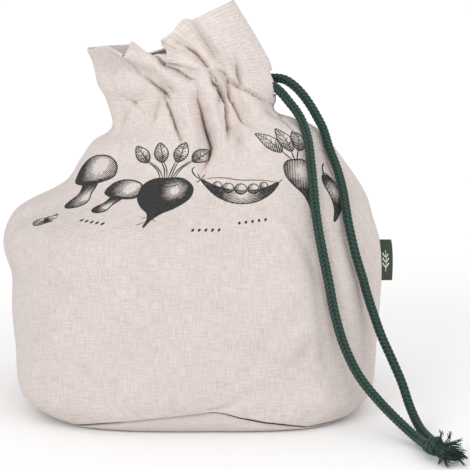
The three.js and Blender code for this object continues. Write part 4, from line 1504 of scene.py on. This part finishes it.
def stitch_row(made, line, lift):
    """Stitches along a line of points on the cloth, lifted along the outward vectors."""
    lengths = distances(line)
    for start in np.arange(0.5 * MM, lengths[-1] - STITCH_LONG, STITCH_PITCH):
        ends = [Vector([np.interp(at, lengths, line[:, axis]) for axis in range(3)])
                for at in (start, start + STITCH_LONG)]
        away = Vector([np.interp(start, lengths, lift[:, axis]) for axis in range(3)]).normalized()
        middle = (ends[0] + ends[1]) / 2 + away * THREAD_THICK * 0.1
        turn = (ends[1] - ends[0]).to_track_quat("X", "Z").to_matrix().to_4x4()
        shape = Matrix.Diagonal((STITCH_LONG / 2, THREAD_THICK / 2, THREAD_THICK / 2, 1))
        bmesh.ops.create_uvsphere(made, u_segments=6, v_segments=4, radius=1,
                                  matrix=Matrix.Translation(middle) @ turn @ shape)


sewing = bmesh.new()
row_around = np.linspace(0, 360, 900)
for place in (LAST_ROW + ROW_INSIDE, CHANNEL_TOP - ROW_INSIDE):
    places = np.full_like(row_around, place)
    stitch_row(sewing, cloth_point(row_around, places), cloth_out(row_around, places))
as_object("sleeve_stitches", sewing, sewing_thread)

# %% [markdown]
# ## The side label
# A narrow woven tape, folded once, with both ends caught in the right side seam. It is a sheet
# bent round its fold and given a thickness. A small sprig in pale thread is woven into each face.

# %% Label
LABEL_WIDTH, LABEL_HEIGHT, LABEL_BOTTOM = 9 * MM, 32 * MM, 91 * MM
LABEL_HALF = 0.75 * MM   # half of the way between its two faces
TUCKED_IN = 1.6 * MM     # how far its ends go into the seam

edge_rows = np.linspace(2, 7, 120)
edge_line = folded_point(np.zeros_like(edge_rows), edge_rows)


def label_place(across, up):
    along = across * 2 - 1
    straight = LABEL_WIDTH + TUCKED_IN - LABEL_HALF
    bend = math.pi * LABEL_HALF / 2
    run = np.abs(along) * (straight + bend)
    angle = np.clip((bend - run) / LABEL_HALF, 0, math.pi / 2)
    x = np.where(run > bend, straight + bend - run, straight + LABEL_HALF * np.sin(angle))
    y = np.sign(along) * np.where(run > bend, LABEL_HALF, LABEL_HALF * np.cos(angle))
    height = LABEL_BOTTOM + up * LABEL_HEIGHT
    edge = np.interp(height, edge_line[:, 2], edge_line[:, 0]) + SEAM_GAP - TUCKED_IN
    wave = 0.5 * MM * np.sin(up * 5 + 0.6) * x / LABEL_WIDTH
    return np.stack([edge + x, y + wave, height], axis=1)


label = as_object("side_label_tape", wrapped_grid(36, 30, label_place, (0.0185, LABEL_HEIGHT)),
                  olive_tape)
thicken(label, 0.5 * MM, 0)
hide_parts("side_label")

# %% The sprig woven into the label
SPRIG_ACROSS, SPRIG_LIFT = 0.26, 0.32 * MM   # from the fold, in shares of the tape's run
sprig = bmesh.new()
SPRIG = [([(0, -9), (0.3, 0), (0, 8)], 0.5)]
for height in (-5.5, -1.5, 2.5):
    for side in (-1, 1):
        SPRIG.append(([(0.1, height), (side * 1.5, height + 1.6), (side * 2.3, height + 3.4)], 0.9))
for face_side in (-1, 1):
    for points, width in SPRIG:
        line = smooth_line(points, step=0.5)
        up = (line[:, 1] * MM + LABEL_HEIGHT / 2) / LABEL_HEIGHT
        middle = label_place(np.full_like(up, 0.5 + face_side * SPRIG_ACROSS), up)
        middle[:, 0] += line[:, 0] * MM
        middle[:, 1] += face_side * SPRIG_LIFT
        ahead = np.gradient(middle, axis=0)
        sideways = np.cross(np.array([0, face_side, 0]), ahead)
        sideways /= np.linalg.norm(sideways, axis=1, keepdims=True)
        ribbon(sprig, middle, np.full(len(line), width * MM), sideways)
sprig.normal_update()
for face in sprig.faces:
    if face.normal.y * face.calc_center_median().y < 0:
        face.normal_flip()
as_object("side_label_sprig", sprig, woven_white)
